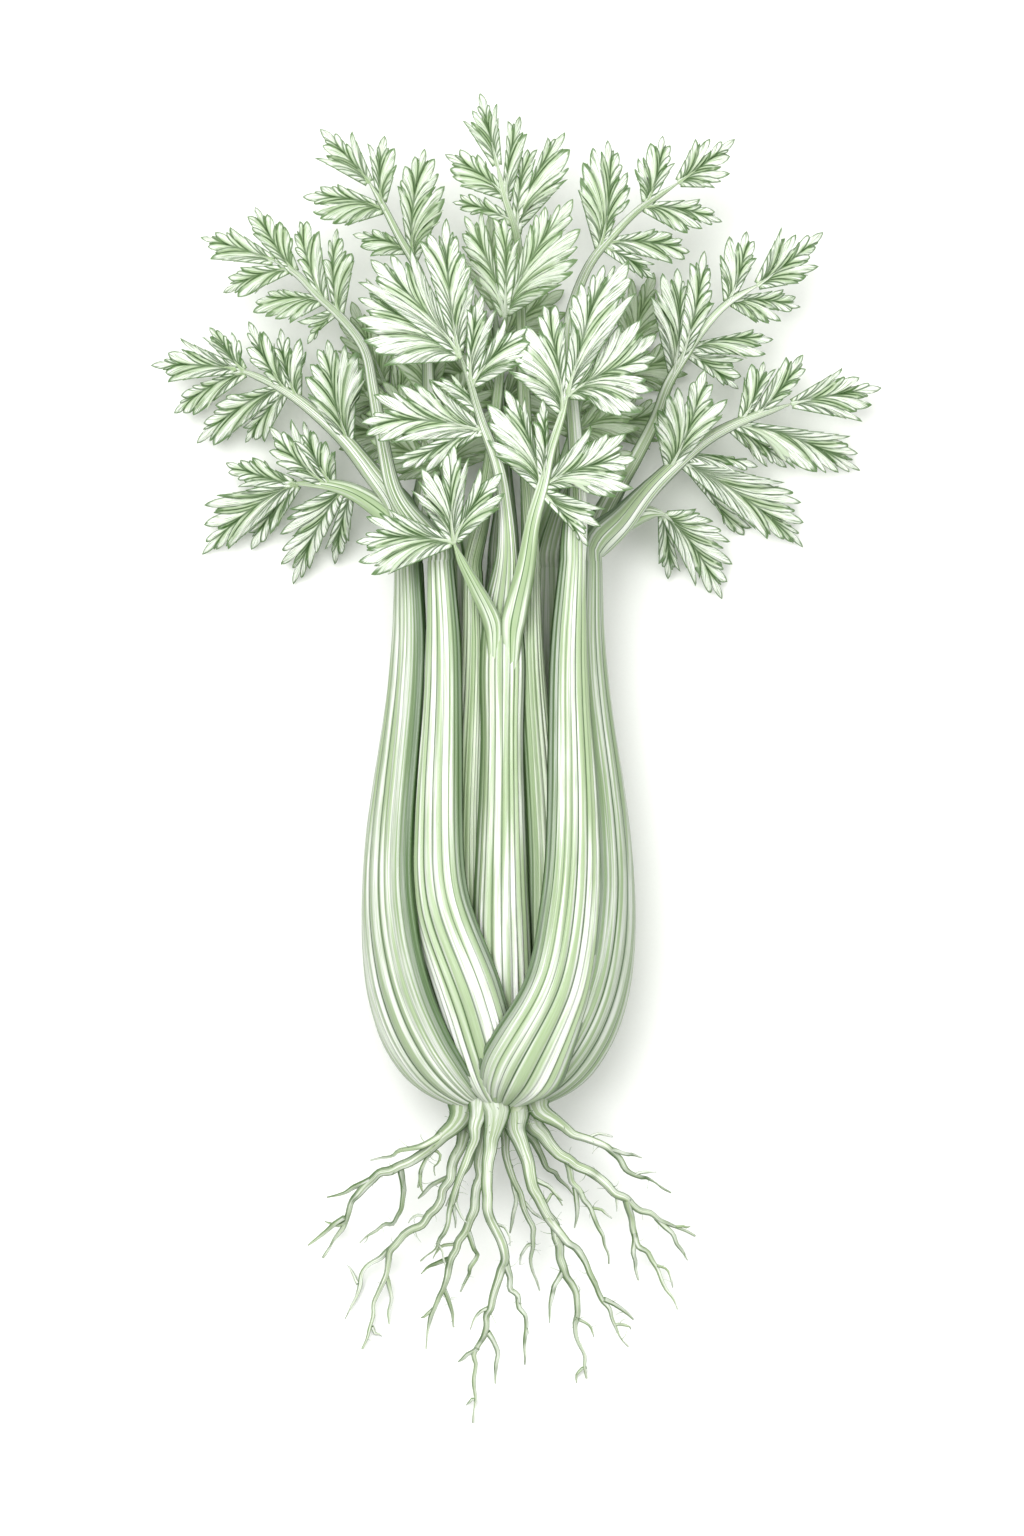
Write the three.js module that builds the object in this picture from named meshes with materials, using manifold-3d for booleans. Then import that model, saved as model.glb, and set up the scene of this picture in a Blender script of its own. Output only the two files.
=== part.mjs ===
// A whole head of celery, with its leaves and roots, lying on its back. Millimetres, +Z up.
//
// Every piece is laid out about the head's own axis: the crown is at the origin, +Y runs from the crown to
// the leaf tips, +X is to the right and +Z is the front, which faces up. The finished head is then shifted so
// that it lies on Z = 0 with the middle of its bounding box over the origin.

import * as THREE from "three";
import { mergeVertices } from "three/addons/utils/BufferGeometryUtils.js";
import Module from "manifold-3d";

const wasm = await Module();
wasm.setup();

// Driving dimensions.
const HEAD_RADIUS = 58; // half the head's width where it is fullest
const FULLEST_AT = 75; // height of the fullest place above the crown
const THROAT_RADIUS = 46.5; // half the width where the leaves begin
const THROAT_AT = 195;
const BASE_DEPTH = 6; // how far below the crown the dome of the base would close
const HEAD_DEPTH = 0.8; // the lying head is this much shallower than it is wide
const CLEARANCE = 0.3; // left between pieces that touch
const BLADE_THICKNESS = 1.2; // of a leaf blade
const STEM_SIDES = 5;
const ROOT_SIDES = 5;

const COLOURS = {
  stalk: 0xcdd8c3,
  innerStalk: 0xb7c6aa,
  leaf: 0xa6ba98,
  crown: 0xbcc6ad,
  root: 0xd9ddcf,
};

// The head's outer half-width at a height above the crown: a domed base, then a long taper to the throat.
function girth(height) {
  if (height < FULLEST_AT) {
    const drop = (FULLEST_AT - height) / (FULLEST_AT + BASE_DEPTH);
    return HEAD_RADIUS * Math.pow(1 - Math.pow(drop, 2.6), 0.45);
  }
  const along = Math.min((height - FULLEST_AT) / (THROAT_AT - FULLEST_AT), 1);
  return THROAT_RADIUS + (HEAD_RADIUS - THROAT_RADIUS) * 0.5 * (1 + Math.cos(Math.PI * along));
}

function solidOf(geometry) {
  const bare = new THREE.BufferGeometry().setAttribute("position", geometry.getAttribute("position"));
  if (geometry.index) bare.setIndex(geometry.index);
  const merged = mergeVertices(bare, 1e-3);
  return new wasm.Manifold(
    new wasm.Mesh({
      numProp: 3,
      vertProperties: merged.attributes.position.array,
      triVerts: new Uint32Array(merged.index.array),
    }),
  );
}

function geometryOf(solid) {
  const mesh = solid.getMesh();
  const points = new Float32Array(mesh.numVert * 3);
  for (let i = 0; i < mesh.numVert; i++) {
    points.set(mesh.vertProperties.subarray(i * mesh.numProp, i * mesh.numProp + 3), i * 3);
  }
  const geometry = new THREE.BufferGeometry();
  geometry.setAttribute("position", new THREE.BufferAttribute(points, 3));
  geometry.setIndex(new THREE.BufferAttribute(mesh.triVerts, 1));
  geometry.computeVertexNormals();
  return geometry;
}

const largest = (solid) => solid.decompose().sort((a, b) => b.volume() - a.volume())[0];

// Runs a flat section along stations, each with a centre, a side and an outward direction and a size each way.
function sweep(section, stations) {
  const steps = stations.length - 1;
  const geometry = new THREE.ExtrudeGeometry(section, { steps, depth: steps, bevelEnabled: false });
  const place = geometry.getAttribute("position");
  const point = new THREE.Vector3();
  for (let i = 0; i < place.count; i++) {
    const at = stations[Math.round(place.getZ(i))];
    point.copy(at.centre);
    point.addScaledVector(at.side, place.getX(i) * at.width);
    point.addScaledVector(at.outward, place.getY(i) * at.depth);
    place.setXYZ(i, point.x, point.y, point.z);
  }
  const solid = solidOf(geometry);
  return solid.volume() < 0 ? solidOf(turnedInsideOut(geometry)) : solid;
}

function turnedInsideOut(geometry) {
  const place = geometry.getAttribute("position");
  const first = new THREE.Vector3();
  for (let i = 0; i < place.count; i += 3) {
    first.fromBufferAttribute(place, i);
    place.setXYZ(i, place.getX(i + 1), place.getY(i + 1), place.getZ(i + 1));
    place.setXYZ(i + 1, first.x, first.y, first.z);
  }
  return geometry;
}

function polygon(sides) {
  const corners = Array.from({ length: sides }, (_, i) => (2 * Math.PI * i) / sides);
  return new THREE.Shape(corners.map((a) => new THREE.Vector2(Math.cos(a) / 2, Math.sin(a) / 2)));
}

// How far a swept piece's station is moved along its path when the piece is grown: only its two ends are.
const overrun = (index, count, extra) => (index === 0 ? -extra : index === count - 1 ? extra : 0);

// A round stem or root through the points, tapering from one radius to the other.
function tapered(points, [fromRadius, toRadius], sides, steps, extra) {
  const curve = new THREE.CatmullRomCurve3(points.map((p) => new THREE.Vector3(...p)));
  const frames = curve.computeFrenetFrames(steps);
  const stations = frames.tangents.map((tangent, i) => {
    const radius = THREE.MathUtils.lerp(fromRadius, toRadius, i / steps) + extra;
    const centre = curve.getPointAt(i / steps);
    return {
      centre: centre.addScaledVector(tangent, overrun(i, steps + 1, extra)),
      side: frames.normals[i],
      outward: frames.binormals[i],
      width: 2 * radius,
      depth: 2 * radius,
    };
  });
  return sweep(polygon(sides), stations);
}

// A stalk's crescent section: a round back with a flat down its middle, and a shallow groove on the inside.
const BACK_SEGMENTS = 5;
const GROOVE_SEGMENTS = 3;

function crescent() {
  const outline = [];
  for (let i = 0; i <= BACK_SEGMENTS; i++) {
    const turn = Math.PI * (i / BACK_SEGMENTS - 0.5);
    outline.push(new THREE.Vector2(0.5 * Math.sin(turn), -0.4 + 0.9 * Math.cos(turn)));
  }
  for (let i = 0; i <= GROOVE_SEGMENTS; i++) {
    const across = 1 - (2 * i) / GROOVE_SEGMENTS;
    outline.push(new THREE.Vector2(0.46 * across, -0.5 + 0.3 * (1 - across * across)));
  }
  return new THREE.Shape(outline);
}

// Heights of a stalk's stations above the crown, and how broad and thick it is at each, against its middle.
const STATIONS = [
  { height: -1.5, breadth: 0.42, thickness: 0.3 },
  { height: 3, breadth: 0.75, thickness: 0.5 },
  { height: 11, breadth: 0.98, thickness: 0.7 },
  { height: 26, breadth: 1.1, thickness: 0.85 },
  { height: 46, breadth: 1.13, thickness: 0.95 },
  { height: 72, breadth: 1.09, thickness: 1 },
  { height: 105, breadth: 0.96, thickness: 1 },
  { height: 145, breadth: 0.8, thickness: 0.95 },
  { height: 185, breadth: 0.64, thickness: 0.85 },
  { height: 214, breadth: 0.46, thickness: 0.7 },
];

// Where each stalk stands round the axis at each height of TURNS_AT, in degrees: 0 is to the right, 90 the
// front and 270 the back. Its inset is from the head's outline to its middle. A foot over 1 makes its base
// that many times as broad and stands it forward, so that it laps over its neighbours there. A fork over 1
// makes its top that many times as broad, where its branches part low down.
const STALKS = {
  front_right: { turns: [83, 62, 57, 46], inset: 3.5, width: 26, thickness: 10, foot: 1.5 },
  front_left: { turns: [95, 106, 122, 131], inset: 9, width: 25, thickness: 10 },
  front_centre: { turns: [84, 88, 89, 87], inset: 20, width: 22, thickness: 10, from: 8, end: 190, fork: 1.6 },
  left: { turns: [142, 151, 157, 163], inset: 7, width: 42, thickness: 11 },
  right: { turns: [34, 24, 19, 15], inset: 8.5, width: 38, thickness: 11 },
  back_left: { turns: [203, 203, 203, 205], inset: 6, width: 29, thickness: 10 },
  back_right: { turns: [337, 337, 337, 337], inset: 6, width: 29, thickness: 10 },
  back_middle: { turns: [270, 270, 270, 272], inset: 5, width: 29, thickness: 10 },
  back_lower_left: { turns: [236, 236, 236, 238], inset: 9, width: 29, thickness: 10 },
  back_lower_right: { turns: [304, 304, 304, 304], inset: 9, width: 29, thickness: 10 },
  inner_left: { turns: [130, 121, 118, 124], inset: 26, width: 17, thickness: 8, from: 10, end: 210 },
  inner_right: { turns: [44, 53, 55, 55], inset: 24, width: 17, thickness: 8, from: 10, end: 210 },
  heart_left: { turns: [215, 215, 215, 215], inset: 33, width: 15, thickness: 7, from: 12, end: 196 },
  heart_right: { turns: [320, 320, 320, 320], inset: 33, width: 15, thickness: 7, from: 12, end: 196 },
};

const TURNS_AT = [0, 44, 78, 214];

function angleAt({ turns }, height) {
  const over = Math.max(1, TURNS_AT.findIndex((at) => height <= at));
  const along = (height - TURNS_AT[over - 1]) / (TURNS_AT[over] - TURNS_AT[over - 1]);
  const turn = THREE.MathUtils.lerp(turns[over - 1], turns[over], THREE.MathUtils.clamp(along, 0, 1));
  return THREE.MathUtils.degToRad(turn);
}

const SMALLEST_RING = 8; // an inner stalk keeps at least this far from the axis
const FOOT_EASE = 25; // the height that a broad foot dies away over
const FOOT_PUSH = 6; // how far a foot twice as broad would stand forward
const FORK_EASE = 32; // the length below its top that a stalk broadens over

const stalkBase = (stalk) => stalk.from ?? STATIONS[0].height;
const stalkEnd = (stalk) => stalk.end ?? STATIONS.at(-1).height;

const footShare = ({ foot = 1 }, height) => (foot - 1) * Math.exp(-Math.pow(height / FOOT_EASE, 2));

function forkShare(stalk, height) {
  const below = stalkEnd(stalk) - height;
  return ((stalk.fork ?? 1) - 1) * Math.exp(-Math.pow(below / FORK_EASE, 2));
}

function stalkCentre(stalk, height) {
  const outline = girth(height) - stalk.inset + FOOT_PUSH * footShare(stalk, height);
  const ring = Math.max(outline, SMALLEST_RING);
  const turn = angleAt(stalk, height);
  return new THREE.Vector3(ring * Math.cos(turn), height, HEAD_DEPTH * ring * Math.sin(turn));
}

function stalkSolid(stalk, extra) {
  const [low, high] = [STATIONS[0].height, STATIONS.at(-1).height];
  const heights = STATIONS.map(({ height }) =>
    THREE.MathUtils.mapLinear(height, low, high, stalkBase(stalk), stalkEnd(stalk)),
  );
  const centres = heights.map((height) => stalkCentre(stalk, height));
  const stations = centres.map((centre, i) => {
    const before = centres[Math.max(i - 1, 0)];
    const after = centres[Math.min(i + 1, centres.length - 1)];
    const along = after.clone().sub(before).normalize();
    const turn = angleAt(stalk, heights[i]);
    const outward = new THREE.Vector3(Math.cos(turn), 0, Math.sin(turn));
    outward.addScaledVector(along, -outward.dot(along)).normalize();
    const widening = 1 + footShare(stalk, heights[i]) + forkShare(stalk, heights[i]);
    return {
      centre: centre.clone().addScaledVector(along, overrun(i, centres.length, extra)),
      side: new THREE.Vector3().crossVectors(along, outward),
      outward,
      width: stalk.width * STATIONS[i].breadth * widening + 2 * extra,
      depth: stalk.thickness * STATIONS[i].thickness + 2 * extra,
    };
  });
  return sweep(crescent(), stations);
}

// The leaf of each stalk, as one or more branches that fork at the stalk's top. A branch is a stem with
// leaflets. A leaflet grows from the point of the stem nearest to `from` and ends at its tip. Its lobes are
// given by their tips, from the stem outwards, on its left and on its right.
const LEAVES = {
  front_centre: [
    {
      stem: [[-4.4, 193, 27], [-9.6, 203, 34], [-16, 215, 42], [-19, 223, 46]],
      leaflets: [
        { from: [-19, 223], tip: [-18, 259, 52], left: [[-35, 241], [-31, 250]], right: [[-12, 254]] },
        {
          from: [-19, 222],
          tip: [-57, 221, 38],
          left: [[-44, 208], [-51, 208], [-56, 213]],
          right: [[-44, 234], [-53, 231]],
        },
        { from: [-18, 221], tip: [1, 248, 47], left: [[-8, 250]], right: [[0, 234], [2, 240]] },
      ],
    },
    {
      stem: [
        [3, 215, 32], [2, 235, 36], [-1, 252, 40], [-6, 265, 43], [-10, 277, 46], [-12, 285, 48],
        [-16, 295, 49],
      ],
      leaflets: [
        {
          from: [-6, 264],
          tip: [-55, 268, 40],
          left: [[-43, 260], [-53, 263]],
          right: [[-28, 285], [-40, 283], [-50, 279]],
        },
        { from: [-7, 266], tip: [-39, 250, 38], left: [[-22, 254], [-30, 248]], right: [[-43, 254]] },
        { from: [-9, 272], tip: [-19, 287, 44], left: [[-28, 285]], right: [[-14, 281]] },
        {
          from: [-15, 293],
          tip: [-56, 317, 44],
          left: [[-46, 290], [-54, 300], [-57, 309]],
          right: [[-53, 325]],
        },
        { from: [-16, 294], tip: [-51, 332, 48], left: [[-56, 323]], right: [[-35, 337], [-43, 334]] },
        {
          from: [-16, 295],
          tip: [-21, 348, 53],
          left: [[-32, 339], [-28, 342]],
          right: [[-9, 325], [-14, 334], [-17, 341]],
        },
        { from: [-11, 283], tip: [-7, 318, 55], left: [[-13, 312]], right: [[-1, 312]] },
        { from: [-11, 282], tip: [11, 305, 52], left: [[2, 309]], right: [[9, 291], [12, 299]] },
      ],
    },
    {
      stem: [
        [7.4, 199, 27], [10.2, 211, 33], [13, 229, 40], [17, 243, 43], [20, 257, 46], [24, 269, 48],
        [27, 280, 49],
      ],
      leaflets: [
        { from: [16, 241], tip: [2, 281, 46], left: [[0, 254], [-5, 261], [-5, 275]], right: [[10, 278]] },
        { from: [17, 243], tip: [17, 277, 53], left: [[13, 268]], right: [[19, 269]] },
        { from: [17, 243], tip: [54, 254, 38], left: [[36, 267], [50, 264]], right: [[39, 243], [53, 242]] },
        { from: [16, 241], tip: [35, 219, 38], left: [[42, 234], [40, 227]], right: [[29, 225]] },
        {
          from: [24, 271],
          tip: [17, 314, 50],
          left: [[3, 288], [5, 299], [10, 306]],
          right: [[26, 307], [22, 314]],
        },
        { from: [27, 280], tip: [41, 330, 46], left: [[28, 309], [32, 323]], right: [[54, 319], [51, 332]] },
        {
          from: [26, 278],
          tip: [62, 294, 40],
          left: [[40, 301], [56, 309], [62, 303]],
          right: [[40, 276], [56, 272], [61, 281]],
        },
      ],
    },
  ],
  left: [
    {
      stem: [
        [-40, 235, 3], [-51, 249, 1], [-62, 263, -2], [-74, 274, -6], [-86, 283, -10],
        [-100, 290, -14], [-106, 292, -16],
      ],
      leaflets: [
        {
          from: [-106, 292],
          tip: [-141, 294, -28],
          left: [[-134, 287], [-135, 291]],
          right: [[-129, 305], [-134, 299]],
        },
        {
          from: [-103, 291],
          tip: [-114, 308, -18],
          left: [[-120, 305], [-117, 309]],
          right: [[-105, 299], [-108, 307]],
        },
        {
          from: [-85, 283],
          tip: [-101, 311, -12],
          left: [[-95, 290], [-102, 300]],
          right: [[-91, 301], [-95, 307]],
        },
        { from: [-81, 280], tip: [-88, 308, -8], left: [[-91, 300]], right: [[-79, 295], [-80, 304]] },
        {
          from: [-59, 262],
          tip: [-69, 303, 2],
          left: [[-77, 280], [-78, 288], [-76, 293], [-73, 299]],
          right: [[-57, 285], [-57, 298], [-62, 301]],
        },
        {
          from: [-102, 290],
          tip: [-132, 275, -36],
          left: [[-119, 277], [-124, 274], [-128, 275]],
          right: [[-121, 287], [-129, 282]],
        },
        {
          from: [-88, 284],
          tip: [-123, 263, -40],
          left: [[-110, 265], [-116, 262]],
          right: [[-106, 282], [-115, 278], [-120, 271]],
        },
        { from: [-86, 283], tip: [-103, 263, -34], left: [[-95, 263], [-99, 264]], right: [[-104, 269]] },
      ],
    },
    {
      stem: [[-52, 239, -8], [-60, 243, -11], [-72, 246, -16], [-83, 246, -20]],
      leaflets: [
        {
          from: [-83, 246],
          tip: [-111, 255, -34],
          left: [[-106, 245], [-110, 251]],
          right: [[-95, 254], [-100, 257], [-105, 256]],
        },
        {
          from: [-69, 247],
          tip: [-93, 269, -18],
          left: [[-86, 250], [-93, 259], [-91, 263]],
          right: [[-84, 272]],
        },
        {
          from: [-67, 246],
          tip: [-79, 271, -13],
          left: [[-83, 263]],
          right: [[-66, 259], [-70, 263], [-75, 267]],
        },
        {
          from: [-82, 246],
          tip: [-121, 218, -45],
          left: [[-110, 220], [-115, 220]],
          right: [[-112, 242], [-120, 238], [-120, 230]],
        },
        { from: [-81, 246], tip: [-101, 220, -44], left: [[-90, 229], [-93, 226]], right: [[-102, 227]] },
        {
          from: [-63, 244],
          tip: [-84, 206, -45],
          left: [[-77, 212]],
          right: [[-85, 236], [-89, 226], [-89, 214]],
        },
        { from: [-60, 243], tip: [-67, 214, -42], left: [[-61, 223], [-64, 218]], right: [[-71, 220]] },
      ],
    },
  ],
  right: [
    {
      stem: [[48, 229, 3], [58, 241, 0], [69, 252, -4], [82, 263, -8], [97, 271, -12], [117, 278, -17]],
      leaflets: [
        {
          from: [117, 278],
          tip: [154, 285, -28],
          left: [[138, 293], [145, 289]],
          right: [[146, 271], [150, 278]],
        },
        { from: [97, 271], tip: [106, 295, -14], left: [[98, 288], [101, 294]], right: [[111, 292]] },
        {
          from: [102, 273],
          tip: [122, 298, -18],
          left: [[115, 297]],
          right: [[117, 282], [120, 287], [123, 292]],
        },
        {
          from: [67, 251],
          tip: [82, 291, 4],
          left: [[62, 266], [63, 275], [67, 281], [71, 284]],
          right: [[89, 272], [91, 279], [85, 285]],
        },
        {
          from: [94, 269],
          tip: [146, 252, -42],
          left: [[142, 266], [145, 259]],
          right: [[118, 257], [128, 251], [137, 251]],
        },
        { from: [92, 268], tip: [116, 253, -36], left: [[110, 263]], right: [[103, 257], [108, 253]] },
        { from: [74, 256], tip: [104, 253, -24], left: [[94, 257]], right: [[96, 250]] },
        {
          from: [72, 254],
          tip: [123, 221, -45],
          left: [[115, 247], [122, 239], [123, 231]],
          right: [[108, 224], [115, 224], [119, 223]],
        },
        { from: [73, 255], tip: [95, 227, -43], left: [[102, 229], [99, 226]], right: [[90, 233]] },
      ],
    },
    {
      stem: [[57, 233, -8], [63, 234, -11], [66, 233, -14]],
      leaflets: [
        {
          from: [66, 233],
          tip: [90, 200, -45],
          left: [[79, 236], [86, 231], [93, 223], [94, 214], [92, 207]],
          right: [[79, 205]],
        },
        { from: [65, 233], tip: [68, 208, -42], left: [[73, 211]], right: [[64, 214]] },
      ],
    },
  ],
  front_left: [
    {
      stem: [
        [-41, 239, 22], [-47, 263, 17], [-51, 285, 14], [-54, 299, 12], [-64, 312, 11], [-73, 320, 10],
        [-81, 329, 8], [-90, 334, 6],
      ],
      leaflets: [
        {
          from: [-90, 334],
          tip: [-120, 344, -2],
          left: [[-116, 335], [-117, 340]],
          right: [[-108, 348], [-114, 346]],
        },
        {
          from: [-81, 330],
          tip: [-98, 356, 2],
          left: [[-99, 345], [-101, 352]],
          right: [[-84, 341], [-86, 348], [-88, 350], [-93, 353]],
        },
        {
          from: [-68, 319],
          tip: [-80, 350, 6],
          left: [[-81, 334], [-82, 345]],
          right: [[-72, 346], [-77, 350]],
        },
        {
          from: [-63, 313],
          tip: [-65, 347, 8],
          left: [[-71, 334]],
          right: [[-58, 334], [-59, 337], [-63, 343]],
        },
        {
          from: [-85, 329],
          tip: [-111, 322, -4],
          left: [[-98, 322], [-105, 320]],
          right: [[-104, 332], [-109, 328]],
        },
        {
          from: [-71, 317],
          tip: [-98, 318, -2],
          left: [[-84, 309], [-90, 311], [-94, 312], [-99, 314]],
          right: [[-87, 323], [-93, 322]],
        },
        { from: [-67, 312], tip: [-77, 301, 2], left: [[-71, 307]], right: [[-81, 310]] },
      ],
    },
  ],
  front_right: [
    {
      stem: [
        [31, 239, 24], [30, 263, 20], [28, 287, 16], [27, 305, 14], [30, 319, 13], [36, 333, 12],
        [45, 344, 11], [56, 355, 10], [71, 365, 8],
      ],
      leaflets: [
        {
          from: [71, 365],
          tip: [94, 383, 2],
          left: [[78, 383], [84, 383]],
          right: [[86, 363], [92, 369], [92, 376]],
        },
        {
          from: [58, 357],
          tip: [65, 384, 8],
          left: [[55, 367], [55, 375], [60, 381]],
          right: [[70, 373], [68, 380]],
        },
        {
          from: [39, 338],
          tip: [43, 382, 11],
          left: [[31, 362], [32, 367], [33, 373], [37, 379]],
          right: [[48, 355], [52, 363], [51, 369], [47, 377]],
        },
        {
          from: [57, 355],
          tip: [89, 350, 0],
          left: [[80, 359], [86, 354]],
          right: [[70, 346], [75, 345], [81, 347]],
        },
        {
          from: [42, 341],
          tip: [76, 338, 0],
          left: [[62, 347], [69, 345], [73, 343]],
          right: [[69, 333], [74, 335]],
        },
        { from: [41, 340], tip: [62, 327, 0], left: [[62, 333]], right: [[57, 327]] },
      ],
    },
  ],
  inner_left: [
    {
      stem: [[-6, 239, 20], [-1, 279, 28], [2, 311, 33]],
      leaflets: [
        {
          from: [1, 310],
          tip: [-14, 350, 36],
          left: [[-8, 326], [-17, 334], [-15, 343]],
          right: [[-7, 352]],
        },
        { from: [2, 311], tip: [2, 349, 40], left: [[-3, 349]], right: [[8, 341]] },
        {
          from: [2, 311],
          tip: [29, 357, 32],
          left: [[12, 347], [18, 354]],
          right: [[23, 322], [31, 333], [32, 345]],
        },
      ],
    },
  ],
  inner_right: [
    {
      stem: [[10, 270, 10], [8, 320, 14], [7, 343, 16], [3, 355, 18], [-1, 371, 19]],
      leaflets: [
        { from: [-1, 371], tip: [-8, 400, 20], left: [[-15, 389], [-11, 393]], right: [[-1, 396]] },
        { from: [3, 357], tip: [8, 391, 17], left: [[3, 389]], right: [[11, 384]] },
        { from: [7, 344], tip: [11, 378, 15], left: [[5, 368]], right: [[15, 378]] },
        { from: [7, 346], tip: [26, 385, 12], left: [[19, 383]], right: [[27, 366], [28, 378]] },
        {
          from: [2, 359],
          tip: [-22, 376, 14],
          left: [[-16, 363], [-19, 367], [-20, 370]],
          right: [[-6, 372], [-9, 376], [-16, 378]],
        },
        {
          from: [6, 349],
          tip: [-19, 357, 13],
          left: [[-10, 353], [-16, 354]],
          right: [[-6, 359], [-16, 360]],
        },
      ],
    },
  ],
  back_left: [
    {
      stem: [[-29, 260, -6], [-30, 319, 2], [-34, 333, 4], [-40, 343, 6], [-46, 355, 8], [-52, 365, 8]],
      leaflets: [
        { from: [-52, 365], tip: [-72, 387, 4], left: [[-74, 375], [-71, 380]], right: [[-59, 386]] },
        {
          from: [-46, 354],
          tip: [-79, 360, 0],
          left: [[-61, 348], [-67, 349], [-72, 351], [-75, 354]],
          right: [[-65, 365], [-72, 364]],
        },
        { from: [-47, 357], tip: [-46, 384, 7], left: [[-53, 381]], right: [[-41, 372], [-42, 379]] },
        {
          from: [-34, 334],
          tip: [-30, 379, 5],
          left: [[-41, 364], [-38, 372], [-34, 376]],
          right: [[-25, 350], [-23, 354], [-22, 359], [-22, 364], [-26, 375]],
        },
        {
          from: [-37, 338],
          tip: [-59, 345, 0],
          left: [[-52, 336], [-56, 340]],
          right: [[-46, 346], [-51, 347]],
        },
      ],
    },
  ],
  back_right: [
    {
      stem: [
        [45, 239, -13], [56, 259, -11], [63, 273, -9], [67, 285, -8], [73, 295, -7], [81, 307, -7],
        [91, 318, -7], [103, 325, -8],
      ],
      leaflets: [
        {
          from: [103, 325],
          tip: [130, 347, -16],
          left: [[113, 349], [119, 346]],
          right: [[120, 326], [123, 329], [128, 333], [127, 341]],
        },
        {
          from: [91, 318],
          tip: [99, 347, -9],
          left: [[88, 334], [92, 345]],
          right: [[103, 336], [102, 343]],
        },
        { from: [69, 289], tip: [71, 332, -5], left: [[60, 321], [65, 330]], right: [[75, 325]] },
        { from: [72, 293], tip: [82, 339, -6], left: [[76, 334]], right: [[86, 318], [85, 323], [84, 332]] },
        {
          from: [92, 318],
          tip: [121, 317, -18],
          left: [[114, 324], [119, 321]],
          right: [[103, 310], [108, 310], [113, 311]],
        },
        {
          from: [76, 300],
          tip: [110, 304, -18],
          left: [[102, 308], [106, 306]],
          right: [[99, 297], [107, 298]],
        },
        { from: [75, 298], tip: [96, 284, -18], left: [[98, 296], [97, 289]], right: [[90, 285]] },
      ],
    },
  ],
};

// Leaves under the others, each grown by one rule: pairs of leaflets up the stem, and one at its end.
const UNDER_LEAVES = {
  back_lower_left: { stem: [[-25, 245, -37], [-38, 266, -40], [-47, 288, -41]], reach: 33, drop: 2 },
  back_middle: { stem: [[2, 245, -40], [0, 280, -42], [-2, 318, -42]], reach: 36, drop: 2 },
  back_lower_right: { stem: [[28, 245, -37], [43, 272, -41], [52, 300, -42]], reach: 32, drop: 2 },
  heart_left: { stem: [[-14, 225, -5], [-22, 250, -8], [-28, 278, -11]], reach: 31, drop: 4 },
  heart_right: { stem: [[15, 225, -5], [24, 250, -8], [32, 274, -11]], reach: 30, drop: 4 },
};
const PAIRS_AT = [0.45, 0.78];
const PAIR_SWING = 52; // degrees between a leaflet of a pair and the stem

const flat = (p) => new THREE.Vector2(p[0], p[1]);
const stemCurve = (points) => new THREE.CatmullRomCurve3(points.map((p) => new THREE.Vector3(...p)));

// A branch's stem, started just clear of the top of its stalk.
function stemFrom(place, stem) {
  const top = stalkCentre(STALKS[place], stalkEnd(STALKS[place]));
  return [[top.x, top.y + 2 * CLEARANCE, top.z], ...stem];
}

function underLeaflets({ stem, reach, drop }) {
  const curve = stemCurve(stem);
  const grow = (along, swing, length) => {
    const base = curve.getPointAt(along);
    const heading = flat(curve.getTangentAt(along).toArray()).normalize();
    heading.rotateAround(new THREE.Vector2(), THREE.MathUtils.degToRad(swing));
    const across = new THREE.Vector2(-heading.y, heading.x);
    const spot = (forward, aside) => {
      const p = flat([base.x, base.y]).addScaledVector(heading, forward * length);
      return p.addScaledVector(across, aside * length).toArray();
    };
    return {
      from: [base.x, base.y],
      tip: [...spot(1, 0), base.z - drop],
      left: [spot(0.55, 0.36), spot(0.85, 0.22)],
      right: [spot(0.55, -0.36), spot(0.85, -0.22)],
    };
  };
  const pairs = PAIRS_AT.flatMap((at) => [grow(at, PAIR_SWING, reach), grow(at, -PAIR_SWING, reach)]);
  return [...pairs, grow(1, 0, reach * 1.1)];
}

const STEM_RADII = [3.6, 1.2]; // at a stem's foot and at its tip
const BASE_HALF_WIDTH = 1.3; // a blade's half-width where it leaves the stem
const NOTCH = 0.3; // how far a notch reaches from the line between two lobes towards the midrib
const NOTCH_SPAN = 7; // lobes closer than this have no notch between them
const CUP = 0.01; // how fast a blade falls away at its sides, per millimetre

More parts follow.
